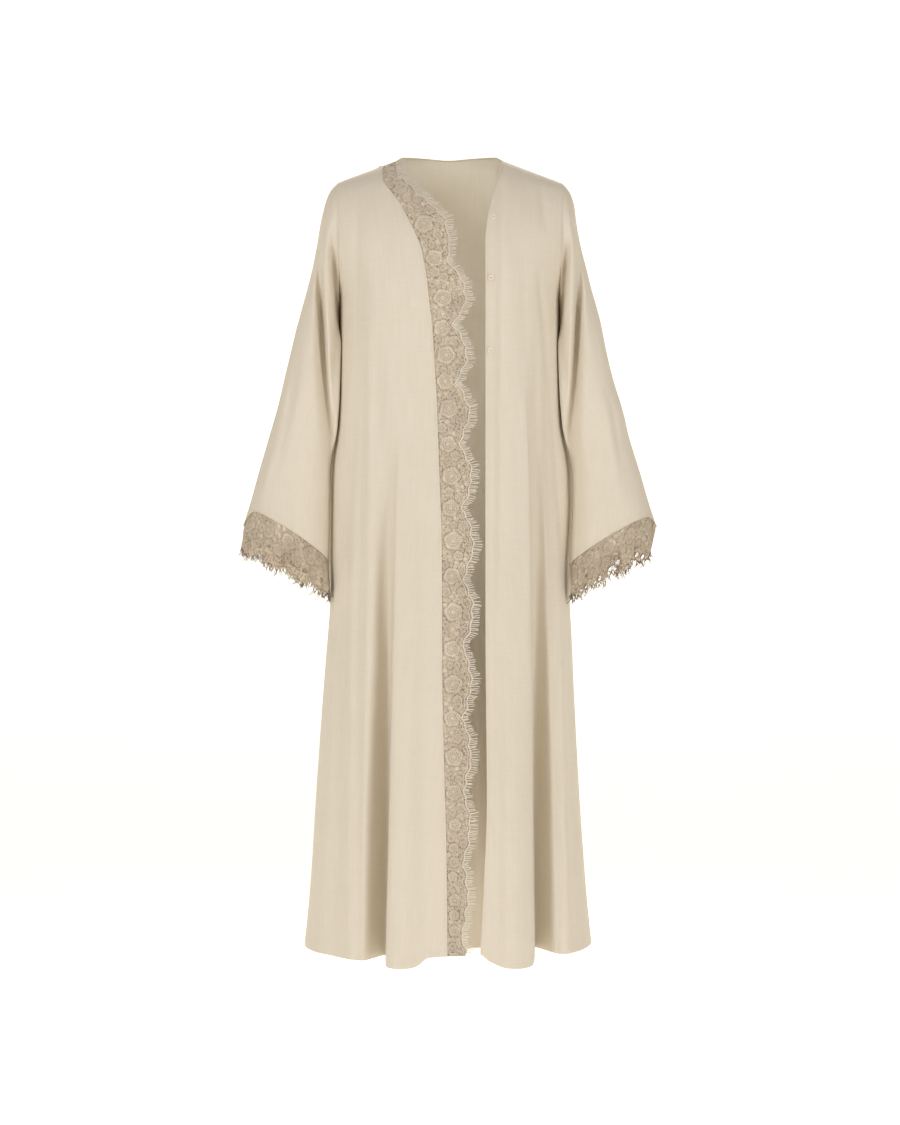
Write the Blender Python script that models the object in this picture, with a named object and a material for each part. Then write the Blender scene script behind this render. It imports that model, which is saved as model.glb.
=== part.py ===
"""Open-front abaya cloak: crepe panels and bell sleeves, with scalloped net lace on one front and both cuffs.

Lengths in the tables are millimetres and become metres when they are read. The origin is at the height of
the side neck points, in the middle of the shoulders. The wearer faces -Y, and the wearer's right is at -X.
"""
import math

import bmesh
import bpy
import numpy as np
from mathutils import Vector
from mathutils.bvhtree import BVHTree

MM = 0.001
CLOTH = 2.0 * MM  # wall of the crepe panels
LACE = 1.4 * MM  # wall of the net lace
SEAM = 0.3 * MM  # gap between neighbouring pieces
LACE_SEAM = 0.5 * MM  # gap between a panel's edge and its lace
ROUNDNESS = 2.4  # power of the oval that the body's level sections follow

TIP_RIGHT = (-194.6 * MM, -38.3 * MM)  # shoulder tips and underarm points, x and z
TIP_LEFT = (200.9 * MM, -40.0 * MM)
PIT_RIGHT = (-190.2 * MM, -238.0 * MM)
PIT_LEFT = (193.2 * MM, -238.0 * MM)
NECK_RIGHT = (-92.8 * MM, 0.0)
NECK_LEFT = (95.6 * MM, 0.0)
LACE_START = (-116.6 * MM, -8.8 * MM)  # where the right front's edge meets the shoulder seam
ARMHOLE_DEPTH = 52.0 * MM
ARM_FADE = 0.95  # how fast the armhole's own depth gives way to the body's
PIT_Z = PIT_RIGHT[1]
HEM_Z = -1390.0 * MM  # nominal hem of the fronts and of the back; the hem tables give the true line
BACK_HEM_Z = -1400.0 * MM
FOLD_FADE = 45.0 * MM  # folds die out this near to the side seams

ARM_ROWS = 10  # rows of a panel beside the armhole
LOW_ROWS = 11  # rows from the underarm to the hem
LOW_ROW_SPREAD = 0.93  # power that sets those rows a little closer near the hem
FRONT_COLUMNS = 20
FRONT_DENSE = (0.645, 0.10, 1.7)  # place, reach and gain of the closer columns at the deep fold
BACK_SHOULDER_COLUMNS = 6
BACK_NECK_COLUMNS = 14
BACK_NECK_SHARE = 0.476  # share of the back's half width where the neckline meets the shoulder seam
SLEEVE_SIDES = 18
SLEEVE_ROWS = 14
LACE_COLUMNS = 4
ROWS_PER_SCALLOP = 6
LASHES_PER_ROW = 3  # strip pieces between two rows of the lace, every second one with a lash
CUFF_COLUMNS = 16
CUFF_ROWS = 3


class Table:
    """Rows of named columns, read smoothly along the first one."""

    def __init__(self, names, rows, scale=MM):
        self.names = names.split()
        values = np.array(rows, float)
        if values[0, 0] > values[-1, 0]:
            values = values[::-1]
        self.values = values * scale

    def rows(self):
        return [dict(zip(self.names, row)) for row in self.values]

    def at(self, name, key):
        """Monotone cubic through the column's values."""
        keys = self.values[:, 0]
        column = self.values[:, self.names.index(name)]
        steps = np.diff(keys)
        slopes = np.diff(column) / steps
        tangents = np.zeros(len(keys))
        for i in range(1, len(keys) - 1):
            if slopes[i - 1] * slopes[i] > 0:
                tangents[i] = 2 * slopes[i - 1] * slopes[i] / (slopes[i - 1] + slopes[i])
        tangents[0] = slopes[0]
        tangents[-1] = slopes[-1]
        key = min(max(key, keys[0]), keys[-1])
        i = min(int(np.searchsorted(keys, key, side="right")) - 1, len(keys) - 2)
        t = (key - keys[i]) / steps[i]
        return float(
            column[i] * (1 + 2 * t) * (1 - t) ** 2
            + tangents[i] * steps[i] * t * (1 - t) ** 2
            + column[i + 1] * t * t * (3 - 2 * t)
            + tangents[i + 1] * steps[i] * t * t * (t - 1)
        )


BODY = Table(
    "z right left front back",
    [
        (-238, 190.2, 193.2, 120, 108),
        (-420, 190.4, 193.0, 124, 106),
        (-600, 196.7, 196.5, 131, 108),
        (-705, 202.0, 202.5, 137, 114),
        (-800, 209.5, 214.0, 142, 122),
        (-950, 221.4, 221.0, 150, 136),
        (-1125, 233.5, 230.0, 159, 152),
        (-1300, 244.5, 242.0, 168, 167),
        (-1400, 254.0, 251.5, 173, 176),
    ],
)

# Turn is the angle round the armhole, from the shoulder at 0 to the underarm at 180 degrees.
YOKE = Table(
    "turn front back",
    [
        (0, 0, 0),
        (18, 21, 20),
        (36, 46, 43),
        (54, 70, 64),
        (72, 89, 81),
        (90, 103, 92),
        (108, 111, 99),
        (126, 115.5, 104),
        (144, 118, 106.5),
        (162, 119.5, 107.5),
        (180, 120, 108),
    ],
    scale=1.0,
)

EDGE_RIGHT = Table(
    "z x",
    [
        (-8.8, -116.6),
        (-37, -115.5),
        (-62, -101),
        (-84, -85.5),
        (-110, -72),
        (-138, -58.5),
        (-169, -47),
        (-212, -39.1),
        (-256, -33.9),
        (-299, -29),
        (-356, -25.3),
        (-414, -21.8),
        (-480, -19.2),
        (-565, -16.2),
        (-651, -13.2),
        (-737, -12),
        (-900, -11.5),
        (-1070, -8),
        (-1198, -4.6),
        (-1400, -2.5),
    ],
)

EDGE_LEFT = Table(
    "z x",
    [
        (0, 95.6),
        (-30, 89.6),
        (-69, 76.9),
        (-124, 66.2),
        (-159, 63.8),
        (-203, 64.1),
        (-840, 63.8),
        (-942, 64.6),
        (-1113, 66),
        (-1283, 60.2),
        (-1400, 54),
    ],
)

FOLD_COLUMNS = "z_start z_full x_top x_hem width width_hem depth lean"
FOLDS_RIGHT = Table(
    FOLD_COLUMNS,
    [
        (-400, -1250, -103, -122, 12, 17, 62, 17),
        (-620, -1200, -152, -184, 10, 14, 12, -3),
        (-300, -900, -162, -205, 9, 16, 7, 0),
        (-420, -1300, -62, -80, 20, 27, -17, -3),
        (-150, -480, -149, -158, 7, 9, 5, 2),
    ],
)
FOLDS_LEFT = Table(
    FOLD_COLUMNS,
    [
        (-360, -1250, 152, 163, 12, 18, 64, -17),
        (-400, -1300, 112, 110, 22, 30, -16, 0),
        (-700, -1250, 196, 212, 12, 16, 7, 2),
        (-60, -300, 92, 84, 6, 7, 4, 0),
        (-250, -520, 168, 196, 6, 8, 5, -3),
    ],
)
FOLDS_BACK = Table(
    FOLD_COLUMNS,
    [
        (-480, -1250, -152, -182, 18, 26, 26, 6),
        (-560, -1250, -74, -92, 18, 27, 30, -6),
        (-430, -1250, 6, 4, 20, 28, 24, 3),
        (-600, -1250, 88, 100, 18, 26, 32, 6),
        (-520, -1250, 160, 186, 18, 24, 24, -6),
        (-500, -1300, -34, -44, 20, 26, -10, 0),
        (-500, -1300, 46, 54, 20, 28, -12, 0),
    ],
)

HEM_RIGHT = Table(
    "x z",
    [(-254, -1380), (-190, -1386), (-150, -1390), (-122, -1384), (-80, -1395), (0, -1376)],
)
HEM_LEFT = Table(
    "x z",
    [(54, -1371), (75, -1386), (110, -1396), (145, -1390), (165, -1374), (200, -1382), (252, -1378)],
)
HEM_BACK = Table("x z", [(-254, -1380), (-150, -1402), (0, -1412), (150, -1402), (252, -1378)])

NECK_BACK = Table(
    "x y z",
    [(-92.8, 0, 0), (-80, 27, 10), (-45, 54, 12), (0, 66, 10), (45, 54, 12), (82, 27, 10), (95.6, 0, 0)],
)

SLEEVE_COLUMNS = "row x_out z_out x_in z_in middle half"
SLEEVE_RIGHT = Table(
    SLEEVE_COLUMNS,
    [
        (0, -194.6, -38.3, -190.2, -238.0, 0, 52),
        (1, -208.6, -54.1, -192.6, -268, 0, 54),
        (2, -219.2, -80.5, -193.0, -299, -1, 55),
        (3, -226.2, -112, -193.4, -331, -3, 56),
        (4, -232.3, -151, -194.2, -362, -5, 56),
        (5, -240.2, -193, -195.0, -396, -7, 55),
        (6, -250.8, -235, -196.0, -431, -10, 54),
        (7, -263.1, -281, -198.0, -464, -13, 53),
        (8, -275.4, -328, -200.5, -494, -16, 52),
        (9, -286.8, -383, -204.0, -521, -19, 51),
        (10, -300.0, -435, -206.6, -552, -22, 50),
        (11, -314.9, -488, -207.4, -584, -25, 50),
        (12, -329.9, -541, -208.0, -622, -28, 50),
        (13, -342.2, -587, -208.5, -664, -31, 50),
        (14, -351.8, -618, -209.5, -706, -34, 50),
    ],
)
SLEEVE_LEFT = Table(
    SLEEVE_COLUMNS,
    [
        (0, 200.9, -40.0, 193.2, -238.0, 0, 52),
        (1, 214.1, -57.7, 195.4, -268, 0, 54),
        (2, 222.0, -82.3, 196.0, -301, -1, 55),
        (3, 226.4, -112, 196.6, -333, -3, 56),
        (4, 233.4, -151, 197.2, -364, -5, 56),
        (5, 243.1, -193, 198.2, -398, -7, 55),
        (6, 252.7, -235, 199.8, -431, -10, 54),
        (7, 264.1, -281, 202.4, -464, -13, 53),
        (8, 274.7, -328, 206.2, -494, -16, 52),
        (9, 287.9, -383, 212.0, -522, -19, 51),
        (10, 303.7, -435, 215.6, -555, -22, 50),
        (11, 317.8, -488, 216.6, -590, -25, 50),
        (12, 332.7, -541, 216.0, -629, -28, 50),
        (13, 346.8, -592, 213.6, -671, -31, 50),
        (14, 358.6, -628, 211.5, -712, -34, 50),
    ],
)
SLEEVE_LAST = 14

# A fold's turn is the angle from the sleeve's outer line, across its front, to its inner line.
SLEEVE_FOLDS = Table(
    "row_start row_full row_end turn_top turn_hem width depth",
    [
        (3, 6, 12, 98, 150, 15, 16),
        (7, 10, 14, 42, 62, 10, 4),
        (8, 12, 15, 80, 100, 16, 6),
        (6, 11, 15, 235, 250, 16, 9),
        (8, 12, 15, 290, 300, 16, 7),
    ],
    scale=1.0,
)

SCALLOP_FIRST = 40.0  # crests that would lie above the neck and below the hem
SCALLOP_LAST = -1520.0
SCALLOP_PEAKS = [-130, -251, -352, -448, -558, -674, -792, -911, -1036, -1159, -1280, -1396]
LACE_WIDTH = Table(
    "z valley peak",
    [
        (0, 24, 24),
        (-40, 27, 27),
        (-90, 36, 40),
        (-130, 40, 54),
        (-251, 38, 64),
        (-352, 34, 56),
        (-700, 37, 54),
        (-1036, 33, 46),
        (-1280, 27, 36),
        (-1396, 24, 31),
    ],
)
LASH_LENGTH = 13.0 * MM
LASH_UNEVEN = (0.18, 2.3)  # share by which the lashes differ, and the step of their wave
STRIP_WIDTH = 2.6 * MM
STRIP_WALL = 1.8 * MM

CUFF_DROP = Table(
    "side x_out z_out x_in z_in middle half",
    [(-1, -362, -682, -212, -760, -38, 52), (1, 352, -690, 216, -762, -38, 52)],
    scale=1.0,
)
CUFF_SCALLOPS = 10
CUFF_SCALLOP_DEPTH = 11.0 * MM
CUFF_SCALLOP_MEAN = 0.6
CUFF_HALF = 52.0 * MM  # half of the cuff's depth, front to back
CUFF_LASH = 9.0 * MM

# A through gap takes the middle of one cell of the lace: size is its share of that cell. Rows of the front
# lace are counted from a scallop's crest.
LACE_GAPS = Table("row column size", [(0, 3, 0.55), (-1, 2, 0.42), (1, 2, 0.46)], scale=1.0)
CUFF_GAPS = Table(
    "column row size",
    [
        (1, 2, 0.7),
        (3, 1, 0.55),
        (5, 2, 0.75),
        (7, 2, 0.6),
        (9, 2, 0.8),
        (11, 1, 0.55),
        (12, 2, 0.7),
        (14, 2, 0.8),
    ],
    scale=1.0,
)

BUTTONS = [(76.6 * MM, -109.6 * MM), (72.4 * MM, -217.0 * MM), (71.6 * MM, -342.0 * MM)]
BUTTON_RADIUS = 5.4 * MM
BUTTON_SIDES = 12
BUTTON_STAND = 0.5 * MM
BUTTON_PROFILE = Table(
    "radius height",
    [
        (0.0, 0.0),
        (0.86, 0.0),
        (1.0, 0.14),
        (1.0, 0.34),
        (0.84, 0.46),
        (0.66, 0.28),
        (0.34, 0.26),
        (0.2, 0.42),
        (0.0, 0.46),
    ],
    scale=1.0,
)

CLOTH_COLOUR = (0.72, 0.63, 0.51)
LACE_COLOUR = (0.58, 0.48, 0.36)
BUTTON_COLOUR = (0.66, 0.56, 0.43)


def blend(a, b, t):
    return a + (b - a) * t


def unit(vector):
    return vector / max(float(np.linalg.norm(vector)), 1e-9)


def rise(value, start, full):
    """Smooth step from 0 at start to 1 at full."""
    t = min(max((value - start) / (full - start), 0.0), 1.0)
    return t * t * (3 - 2 * t)


def drop_share(turn):
    """How far down the armhole a turn lies, from 0 at the shoulder to 1 at the underarm."""
    return (1 - math.cos(math.radians(turn))) / 2


class Side:
    """One half of the body: its sign along X, its shoulder, underarm and front edge."""

    def __init__(self, sign, tip, pit, neck, half, edge, folds, hem):
        self.sign = sign
        self.tip = tip
        self.pit = pit
        self.neck = neck
        self.half = half
        self.edge = edge
        self.folds = folds
        self.hem = hem

    def outer(self, turn, z):
        """The panel's side at a turn, or at a height below the underarm."""
        if turn < 180:
            return blend(self.tip[0], self.pit[0], drop_share(turn))
        return self.sign * BODY.at(self.half, z)


RIGHT = Side(-1, TIP_RIGHT, PIT_RIGHT, LACE_START, "right", EDGE_RIGHT, FOLDS_RIGHT, HEM_RIGHT)
LEFT = Side(1, TIP_LEFT, PIT_LEFT, NECK_LEFT, "left", EDGE_LEFT, FOLDS_LEFT, HEM_LEFT)


def folded(folds, x, y, z, face):
    """A point moved by the folds: in by their depth and sideways by their lean."""
    fade = rise(abs(y), 0.0, FOLD_FADE)
    for fold in folds.rows():
        grown = rise(-z, -fold["z_start"], -fold["z_full"])
        if grown <= 0:
            continue
        down = (z - fold["z_start"]) / (HEM_Z - fold["z_start"])
        middle = blend(fold["x_top"], fold["x_hem"], down)
        width = blend(fold["width"], fold["width_hem"], grown)
        weight = math.exp(-(((x - middle) / width) ** 2)) * grown * fade
        x += fold["lean"] * weight
        y -= face * fold["depth"] * weight
    return x, y


def oval(x, side_x):
    """Share of the full depth at x on a level section whose side is at side_x."""
    return max(1 - abs(x / side_x) ** ROUNDNESS, 0.0) ** (1 / ROUNDNESS)


def body_y(x, z, turn, side_x, face, start=0.0):
    """Depth of the body at x, in front for face -1 and behind for face 1."""
    name = "front" if face < 0 else "back"
    if turn < 180:
        full = blend(start, YOKE.at(name, 180) * MM, YOKE.at(name, turn) / YOKE.at(name, 180))
        arm = ARMHOLE_DEPTH * math.sin(math.radians(turn))
    else:
        full = BODY.at(name, z)
        arm = 0.0
    share = oval(x, side_x)
    fade = min(max(ARM_FADE * full / max(arm, MM), 1.2), 4.0)
    return face * (full * share + arm * (1 - share) ** fade)


def heights(hem):
    """Turn and height of each row, from the shoulder to a hem."""
    rows = [(180.0 * i / ARM_ROWS, None) for i in range(ARM_ROWS)]
    for i in range(LOW_ROWS + 1):
        t = (i / LOW_ROWS) ** LOW_ROW_SPREAD
        rows.append((180.0, blend(PIT_Z, hem, t)))
    return rows


def spread(count, dense, width, gain):
    """Steps from 0 to 1 that lie closer together near the dense places."""
    fine = np.linspace(0, 1, 400)
    density = 1 + sum(gain * np.exp(-(((fine - place) / width) ** 2)) for place in dense)
    total = np.concatenate([[0], np.cumsum((density[1:] + density[:-1]) / 2)])
    return np.interp(np.linspace(0, total[-1], count + 1), total, fine)


def front_point(side, share, turn, level):
    """A point of a front panel; level runs from 0 at the underarm to 1 at the hem."""
    neck_x, neck_z = side.neck
    if turn < 180:
        c = drop_share(turn)
        edge_z = blend(neck_z, PIT_Z, c)
        side_x = side.outer(turn, 0)
    else:
        c = 1.0
        edge_z = blend(PIT_Z, HEM_Z, level)
        side_x = side.outer(turn, edge_z)
    edge_x = side.edge.at("x", edge_z)
    last = math.acos(min(max(edge_x / side_x, 0.0), 1.0) ** (ROUNDNESS / 2))
    x = side_x * math.cos(last * share) ** (2 / ROUNDNESS)
    across = (side_x - x) / (side_x - edge_x)
    if turn < 180:
        z = blend(blend(side.tip[1], neck_z, across), PIT_Z, c)
    else:
        z = blend(PIT_Z, side.hem.at("z", x), level)
    y = body_y(x, z, turn, side_x, -1)
    x, y = folded(side.folds, x, y, z, -1)
    return np.array([x, y, z])


def back_point(share, turn, level):
    """A point of the back; share runs from -1 at the wearer's right to 1 at the left."""
    side = RIGHT if share < 0 else LEFT
    nominal = blend(PIT_Z, BACK_HEM_Z, level) if turn >= 180 else 0.0
    side_x = side.outer(turn, nominal)
    x = abs(share) * side_x
    neck = NECK_RIGHT if share < 0 else NECK_LEFT
    top_x = abs(share) * side.tip[0]
    if abs(top_x) >= abs(neck[0]):
        start = 0.0
        top_z = blend(neck[1], side.tip[1], (top_x - neck[0]) / (side.tip[0] - neck[0]))
    else:
        start = NECK_BACK.at("y", top_x)
        top_z = NECK_BACK.at("z", top_x)
    if turn < 180:
        z = blend(top_z, PIT_Z, drop_share(turn))
    else:
        z = blend(PIT_Z, HEM_BACK.at("z", x), level)
    y = body_y(x, z, turn, side_x, 1, start)
    x, y = folded(FOLDS_BACK, x, y, z, 1)
    return np.array([x, y, z])


def armhole_normal(side, turn, face):
    """Outward direction in the armhole's own plane."""
    along = unit(np.array([side.tip[0] - side.pit[0], 0.0, side.tip[1] - side.pit[1]]))
    half = math.hypot(side.tip[0] - side.pit[0], side.tip[1] - side.pit[1]) / 2
    angle = math.radians(turn)
    return unit(along * math.cos(angle) / half + np.array([0, face, 0]) * math.sin(angle) / ARMHOLE_DEPTH)


def armhole_shift(side, amount):
    """Step away from the armhole's plane, outwards along the sleeve for a positive amount."""
    along = unit(np.array([side.tip[0] - side.pit[0], 0.0, side.tip[1] - side.pit[1]]))
    across = np.array([along[2], 0.0, -along[0]]) * side.sign
    return across * amount


def grid_normals(points, outward, closed=False):
    """Unit normals of a grid of points, on the side that outward points to."""
    grid = np.asarray(points)
    if closed:
        along = np.roll(grid, -1, 1) - np.roll(grid, 1, 1)
    else:
        along = np.gradient(grid, axis=1)
    down = np.gradient(grid, axis=0)
    normals = np.cross(along, down)
    normals /= np.maximum(np.linalg.norm(normals, axis=2, keepdims=True), 1e-12)
    sign = np.sign(np.einsum("ijk,ijk->", normals, outward))
    return normals * (sign if sign else 1)


def add_object(name, mesh_data, colour, rough):
    """Makes a closed mesh into a named object with its own material."""
    mesh = bpy.data.meshes.new(name)
    mesh_data.to_mesh(mesh)
    mesh_data.free()
    mesh.shade_smooth()
    mesh.set_sharp_from_angle(angle=math.radians(50))
    material = bpy.data.materials.new(name + "_finish")
    material.use_nodes = True
    shader = material.node_tree.nodes["Principled BSDF"]
    shader.inputs["Base Color"].default_value = (*colour, 1)
    shader.inputs["Roughness"].default_value = rough
    shader.inputs["Metallic"].default_value = 0.0
    mesh.materials.append(material)
    made = bpy.data.objects.new(name, mesh)
    bpy.context.scene.collection.objects.link(made)
    return made


def wall(name, points, normals, thick, colour, rough, closed=False, gaps=()):
    """A wall of one thickness behind a grid of points, with gaps cut through single cells."""
    outer = np.asarray(points)
    inner = outer - np.asarray(normals) * thick
    rows, columns = outer.shape[:2]
    data = bmesh.new()
    front = [[data.verts.new(p) for p in row] for row in outer]
    rear = [[data.verts.new(p) for p in row] for row in inner]
    spans = columns if closed else columns - 1
    gap_size = {(int(row), int(column)): size for row, column, size in gaps}
    for i in range(rows - 1):
        for j in range(spans):
            k = (j + 1) % columns
            cell = [(i, j), (i + 1, j), (i + 1, k), (i, k)]
            if (i, j) in gap_size:
                cut_cell(data, front, rear, cell, gap_size[(i, j)])
                continue
            data.faces.new([front[a][b] for a, b in cell])
            data.faces.new([rear[a][b] for a, b in reversed(cell)])
    for j in range(spans):
        k = (j + 1) % columns
        data.faces.new([front[0][j], front[0][k], rear[0][k], rear[0][j]])
        data.faces.new([front[-1][k], front[-1][j], rear[-1][j], rear[-1][k]])
    if not closed:
        for i in range(rows - 1):
            data.faces.new([front[i + 1][0], front[i][0], rear[i][0], rear[i + 1][0]])
            data.faces.new([front[i][-1], front[i + 1][-1], rear[i + 1][-1], rear[i][-1]])
    bmesh.ops.recalc_face_normals(data, faces=data.faces)
    return add_object(name, data, colour, rough)


def cut_cell(data, front, rear, cell, size):
    """A cell of a wall with a four-sided gap through its middle."""
    loops = []
    for layer in (front, rear):
        corners = [layer[a][b] for a, b in cell]
        middle = sum((v.co for v in corners), Vector()) / 4
        inside = [data.verts.new(middle + (v.co - middle) * size) for v in corners]
        for n in range(4):
            m = (n + 1) % 4
            data.faces.new([corners[n], corners[m], inside[m], inside[n]])
        loops.append(inside)
    for n in range(4):
        m = (n + 1) % 4
        data.faces.new([loops[0][n], loops[0][m], loops[1][m], loops[1][n]])


def front_grid(side):
    """Points and wall directions of a front panel."""
    place, reach, gain = FRONT_DENSE
    shares = spread(FRONT_COLUMNS, [place], reach, gain)
    points = []
    for turn, z in heights(HEM_Z):
        level = 0.0 if z is None else (z - PIT_Z) / (HEM_Z - PIT_Z)
        points.append([front_point(side, share, turn, level) for share in shares])
    points = np.array(points)
    normals = grid_normals(points, points * np.array([1, 1, 0]) + np.array([0, -0.02, 0]))
    normals[0, :] = seam_normal(side, side.neck)
    for i in range(ARM_ROWS + 1):
        normals[i, 0] = armhole_normal(side, 180.0 * i / ARM_ROWS, -1)
    normals[ARM_ROWS + 1:, 0] = (side.sign, 0, 0)
    points[:ARM_ROWS + 1, 0] -= armhole_shift(side, SEAM / 2)
    points[0, :, 1] = -SEAM / 2
    points[ARM_ROWS:, 0, 1] = -SEAM / 2
    return points, normals


def seam_normal(side, neck):
    """Upward direction square to the shoulder seam."""
    seam = np.array([neck[1] - side.tip[1], 0, abs(neck[0] - side.tip[0])])
    return unit(seam * np.array([side.sign, 0, 1]))


def back_grid():
    """Points and wall directions of the back."""
    quarter = np.linspace(0, math.pi / 2, BACK_SHOULDER_COLUMNS + 1)
    shoulder = 1 - (1 - np.cos(quarter)) * (1 - BACK_NECK_SHARE)
    middle = np.linspace(-BACK_NECK_SHARE, BACK_NECK_SHARE, BACK_NECK_COLUMNS + 1)
    shares = np.concatenate([-shoulder, middle[1:-1], shoulder[::-1]])
    points = []
    for turn, z in heights(BACK_HEM_Z):
        level = 0.0 if z is None else (z - PIT_Z) / (BACK_HEM_Z - PIT_Z)
        points.append([back_point(share, turn, level) for share in shares])
    points = np.array(points)
    normals = grid_normals(points, points * np.array([1, 1, 0]) + np.array([0, 0.02, 0]))
    count = BACK_SHOULDER_COLUMNS + 1
    for side, neck, edge, columns in (
        (RIGHT, NECK_RIGHT, 0, slice(0, count)),
        (LEFT, NECK_LEFT, -1, slice(-count, None)),
    ):
        normals[0, columns] = seam_normal(side, neck)
        points[0, columns, 1] = SEAM / 2
        for i in range(ARM_ROWS + 1):
            normals[i, edge] = armhole_normal(side, 180.0 * i / ARM_ROWS, 1)
        normals[ARM_ROWS + 1:, edge] = (side.sign, 0, 0)
        points[:ARM_ROWS + 1, edge] -= armhole_shift(side, SEAM / 2)
        points[ARM_ROWS:, edge, 1] = SEAM / 2
    return points, normals


def sleeve_point(table, row, turn):
    """A point of a sleeve: turn 0 is its outer line, 90 the front and 180 the inner line."""
    outer = np.array([table.at("x_out", row * MM), 0, table.at("z_out", row * MM)])
    inner = np.array([table.at("x_in", row * MM), 0, table.at("z_in", row * MM)])
    angle = math.radians(turn)
    half = table.at("half", row * MM)
    for fold in SLEEVE_FOLDS.rows():
        if not fold["row_start"] < row < fold["row_end"]:
            continue
        grown = rise(row, fold["row_start"], fold["row_full"])
        if fold["row_end"] <= SLEEVE_LAST:
            grown *= rise(-row, -fold["row_end"], -fold["row_full"])
        down = (row - fold["row_start"]) / (fold["row_end"] - fold["row_start"])
        middle = blend(fold["turn_top"], fold["turn_hem"], down)
        half -= fold["depth"] * MM * grown * math.exp(-(((turn - middle) / fold["width"]) ** 2))
    place = (outer + inner) / 2 + (outer - inner) / 2 * math.cos(angle)
    place[1] = table.at("middle", row * MM) - half * math.sin(angle)
    return place


def sleeve_grid(side, table):
    """Points and wall directions of a sleeve, from the armhole to its hem."""
    turns = [360.0 * j / SLEEVE_SIDES for j in range(SLEEVE_SIDES)]
    rows = [SLEEVE_LAST * i / SLEEVE_ROWS for i in range(SLEEVE_ROWS + 1)]
    points = np.array([[sleeve_point(table, row, turn) for turn in turns] for row in rows])
    middles = points.mean(axis=1, keepdims=True)
    normals = grid_normals(points, points - middles, closed=True)
    for j, turn in enumerate(turns):
        face = -1 if turn <= 180 else 1
        normals[0, j] = armhole_normal(side, turn if turn <= 180 else 360 - turn, face)
    normals[-1] = in_plane(points[-1], normals[-1])
    points[0] += armhole_shift(side, SEAM / 2)
    return points, normals


def in_plane(ring, normals):
    """Normals with their share across the ring's own plane taken out."""
    across = unit(np.cross(ring[0] - ring[len(ring) // 2], np.array([0, 1.0, 0])))
    flat = normals - np.outer(normals @ across, across)
    return flat / np.linalg.norm(flat, axis=1, keepdims=True)


def along_polyline(points, place):
    """Point at a fractional index of a list of points."""
    i = min(int(place), len(points) - 2)
    return blend(points[i], points[i + 1], place - i)


def scallop(z):
    """0 at a dip between two scallops and 1 at a scallop's crest."""
    peaks = [SCALLOP_FIRST] + SCALLOP_PEAKS + [SCALLOP_LAST]
    level = z / MM
    for high, low in zip(peaks, peaks[1:]):
        if low <= level <= high:
            return abs(math.cos(math.pi * (high - level) / (high - low)))
    return 1.0


def lace_width(z):
    return blend(LACE_WIDTH.at("valley", z), LACE_WIDTH.at("peak", z), scallop(z))


def lace_places(edge):
    """Fractional rows of the panel's edge where the lace has its own rows."""
    places = [n / 2 for n in range(2 * ARM_ROWS + 1)]
    marks = []
    for high, low in zip(SCALLOP_PEAKS, SCALLOP_PEAKS[1:]):
        marks += [blend(high, low, n / ROWS_PER_SCALLOP) for n in range(ROWS_PER_SCALLOP)]
    levels = edge[:, 2]
    rows = np.arange(len(levels))
    below = [float(np.interp(-mark * MM, -levels, rows)) for mark in marks]
    last = len(levels) - 1.0
    places += [place for place in below if ARM_ROWS + 0.1 < place < last - 0.1]
    return places + [last]


def lace_grid(edge, edge_normals):
    """Points and wall directions of the front lace, from the panel's edge to the scallops."""
    rows = []
    places = lace_places(edge)
    for place in places:
        root = along_polyline(edge, place)
        before = along_polyline(edge, max(place - 0.6, 0.0))
        after = along_polyline(edge, min(place + 0.6, len(edge) - 1.0))
        down = after - before
        if place == 0.0:
            down = np.array([NECK_RIGHT[1] - LACE_START[1], 0, LACE_START[0] - NECK_RIGHT[0]])
        across = unit(np.array([-down[2], 0, down[0]]))
        width = lace_width(root[2])
        row = []
        for n in range(LACE_COLUMNS + 1):
            step = LACE_SEAM + (width - LACE_SEAM) * n / LACE_COLUMNS
            point = root + across * step
            if place == 0.0:
                point[1] = -SEAM / 2
            else:
                point[1] = lace_y(point, root)
            row.append(point)
        rows.append(row)
    points = np.array(rows)
    normals = grid_normals(points, np.zeros_like(points) + np.array([0, -1.0, 0]))
    normals[:, 0] = [unit(along_polyline(edge_normals, place)) for place in places]
    normals[0] = unit(np.array([LACE_START[1] - NECK_RIGHT[1], 0, NECK_RIGHT[0] - LACE_START[0]]))
    return points, normals


def free_y(point):
    """Depth of the oval of the right front at a point, also past the panel's edge."""
    turn = 180.0
    if point[2] > PIT_Z:
        c = min(max((LACE_START[1] - point[2]) / (LACE_START[1] - PIT_Z), 0.0), 1.0)
        turn = min(math.degrees(math.acos(1 - 2 * c)), 179.99)
    return body_y(point[0], point[2], turn, RIGHT.outer(turn, point[2]), -1)


def lace_y(point, root):
    """Depth of the lace where the oval of the body goes on past the panel's edge."""
    return min(root[1] + free_y(point) - free_y(root), -SEAM / 2)


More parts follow.
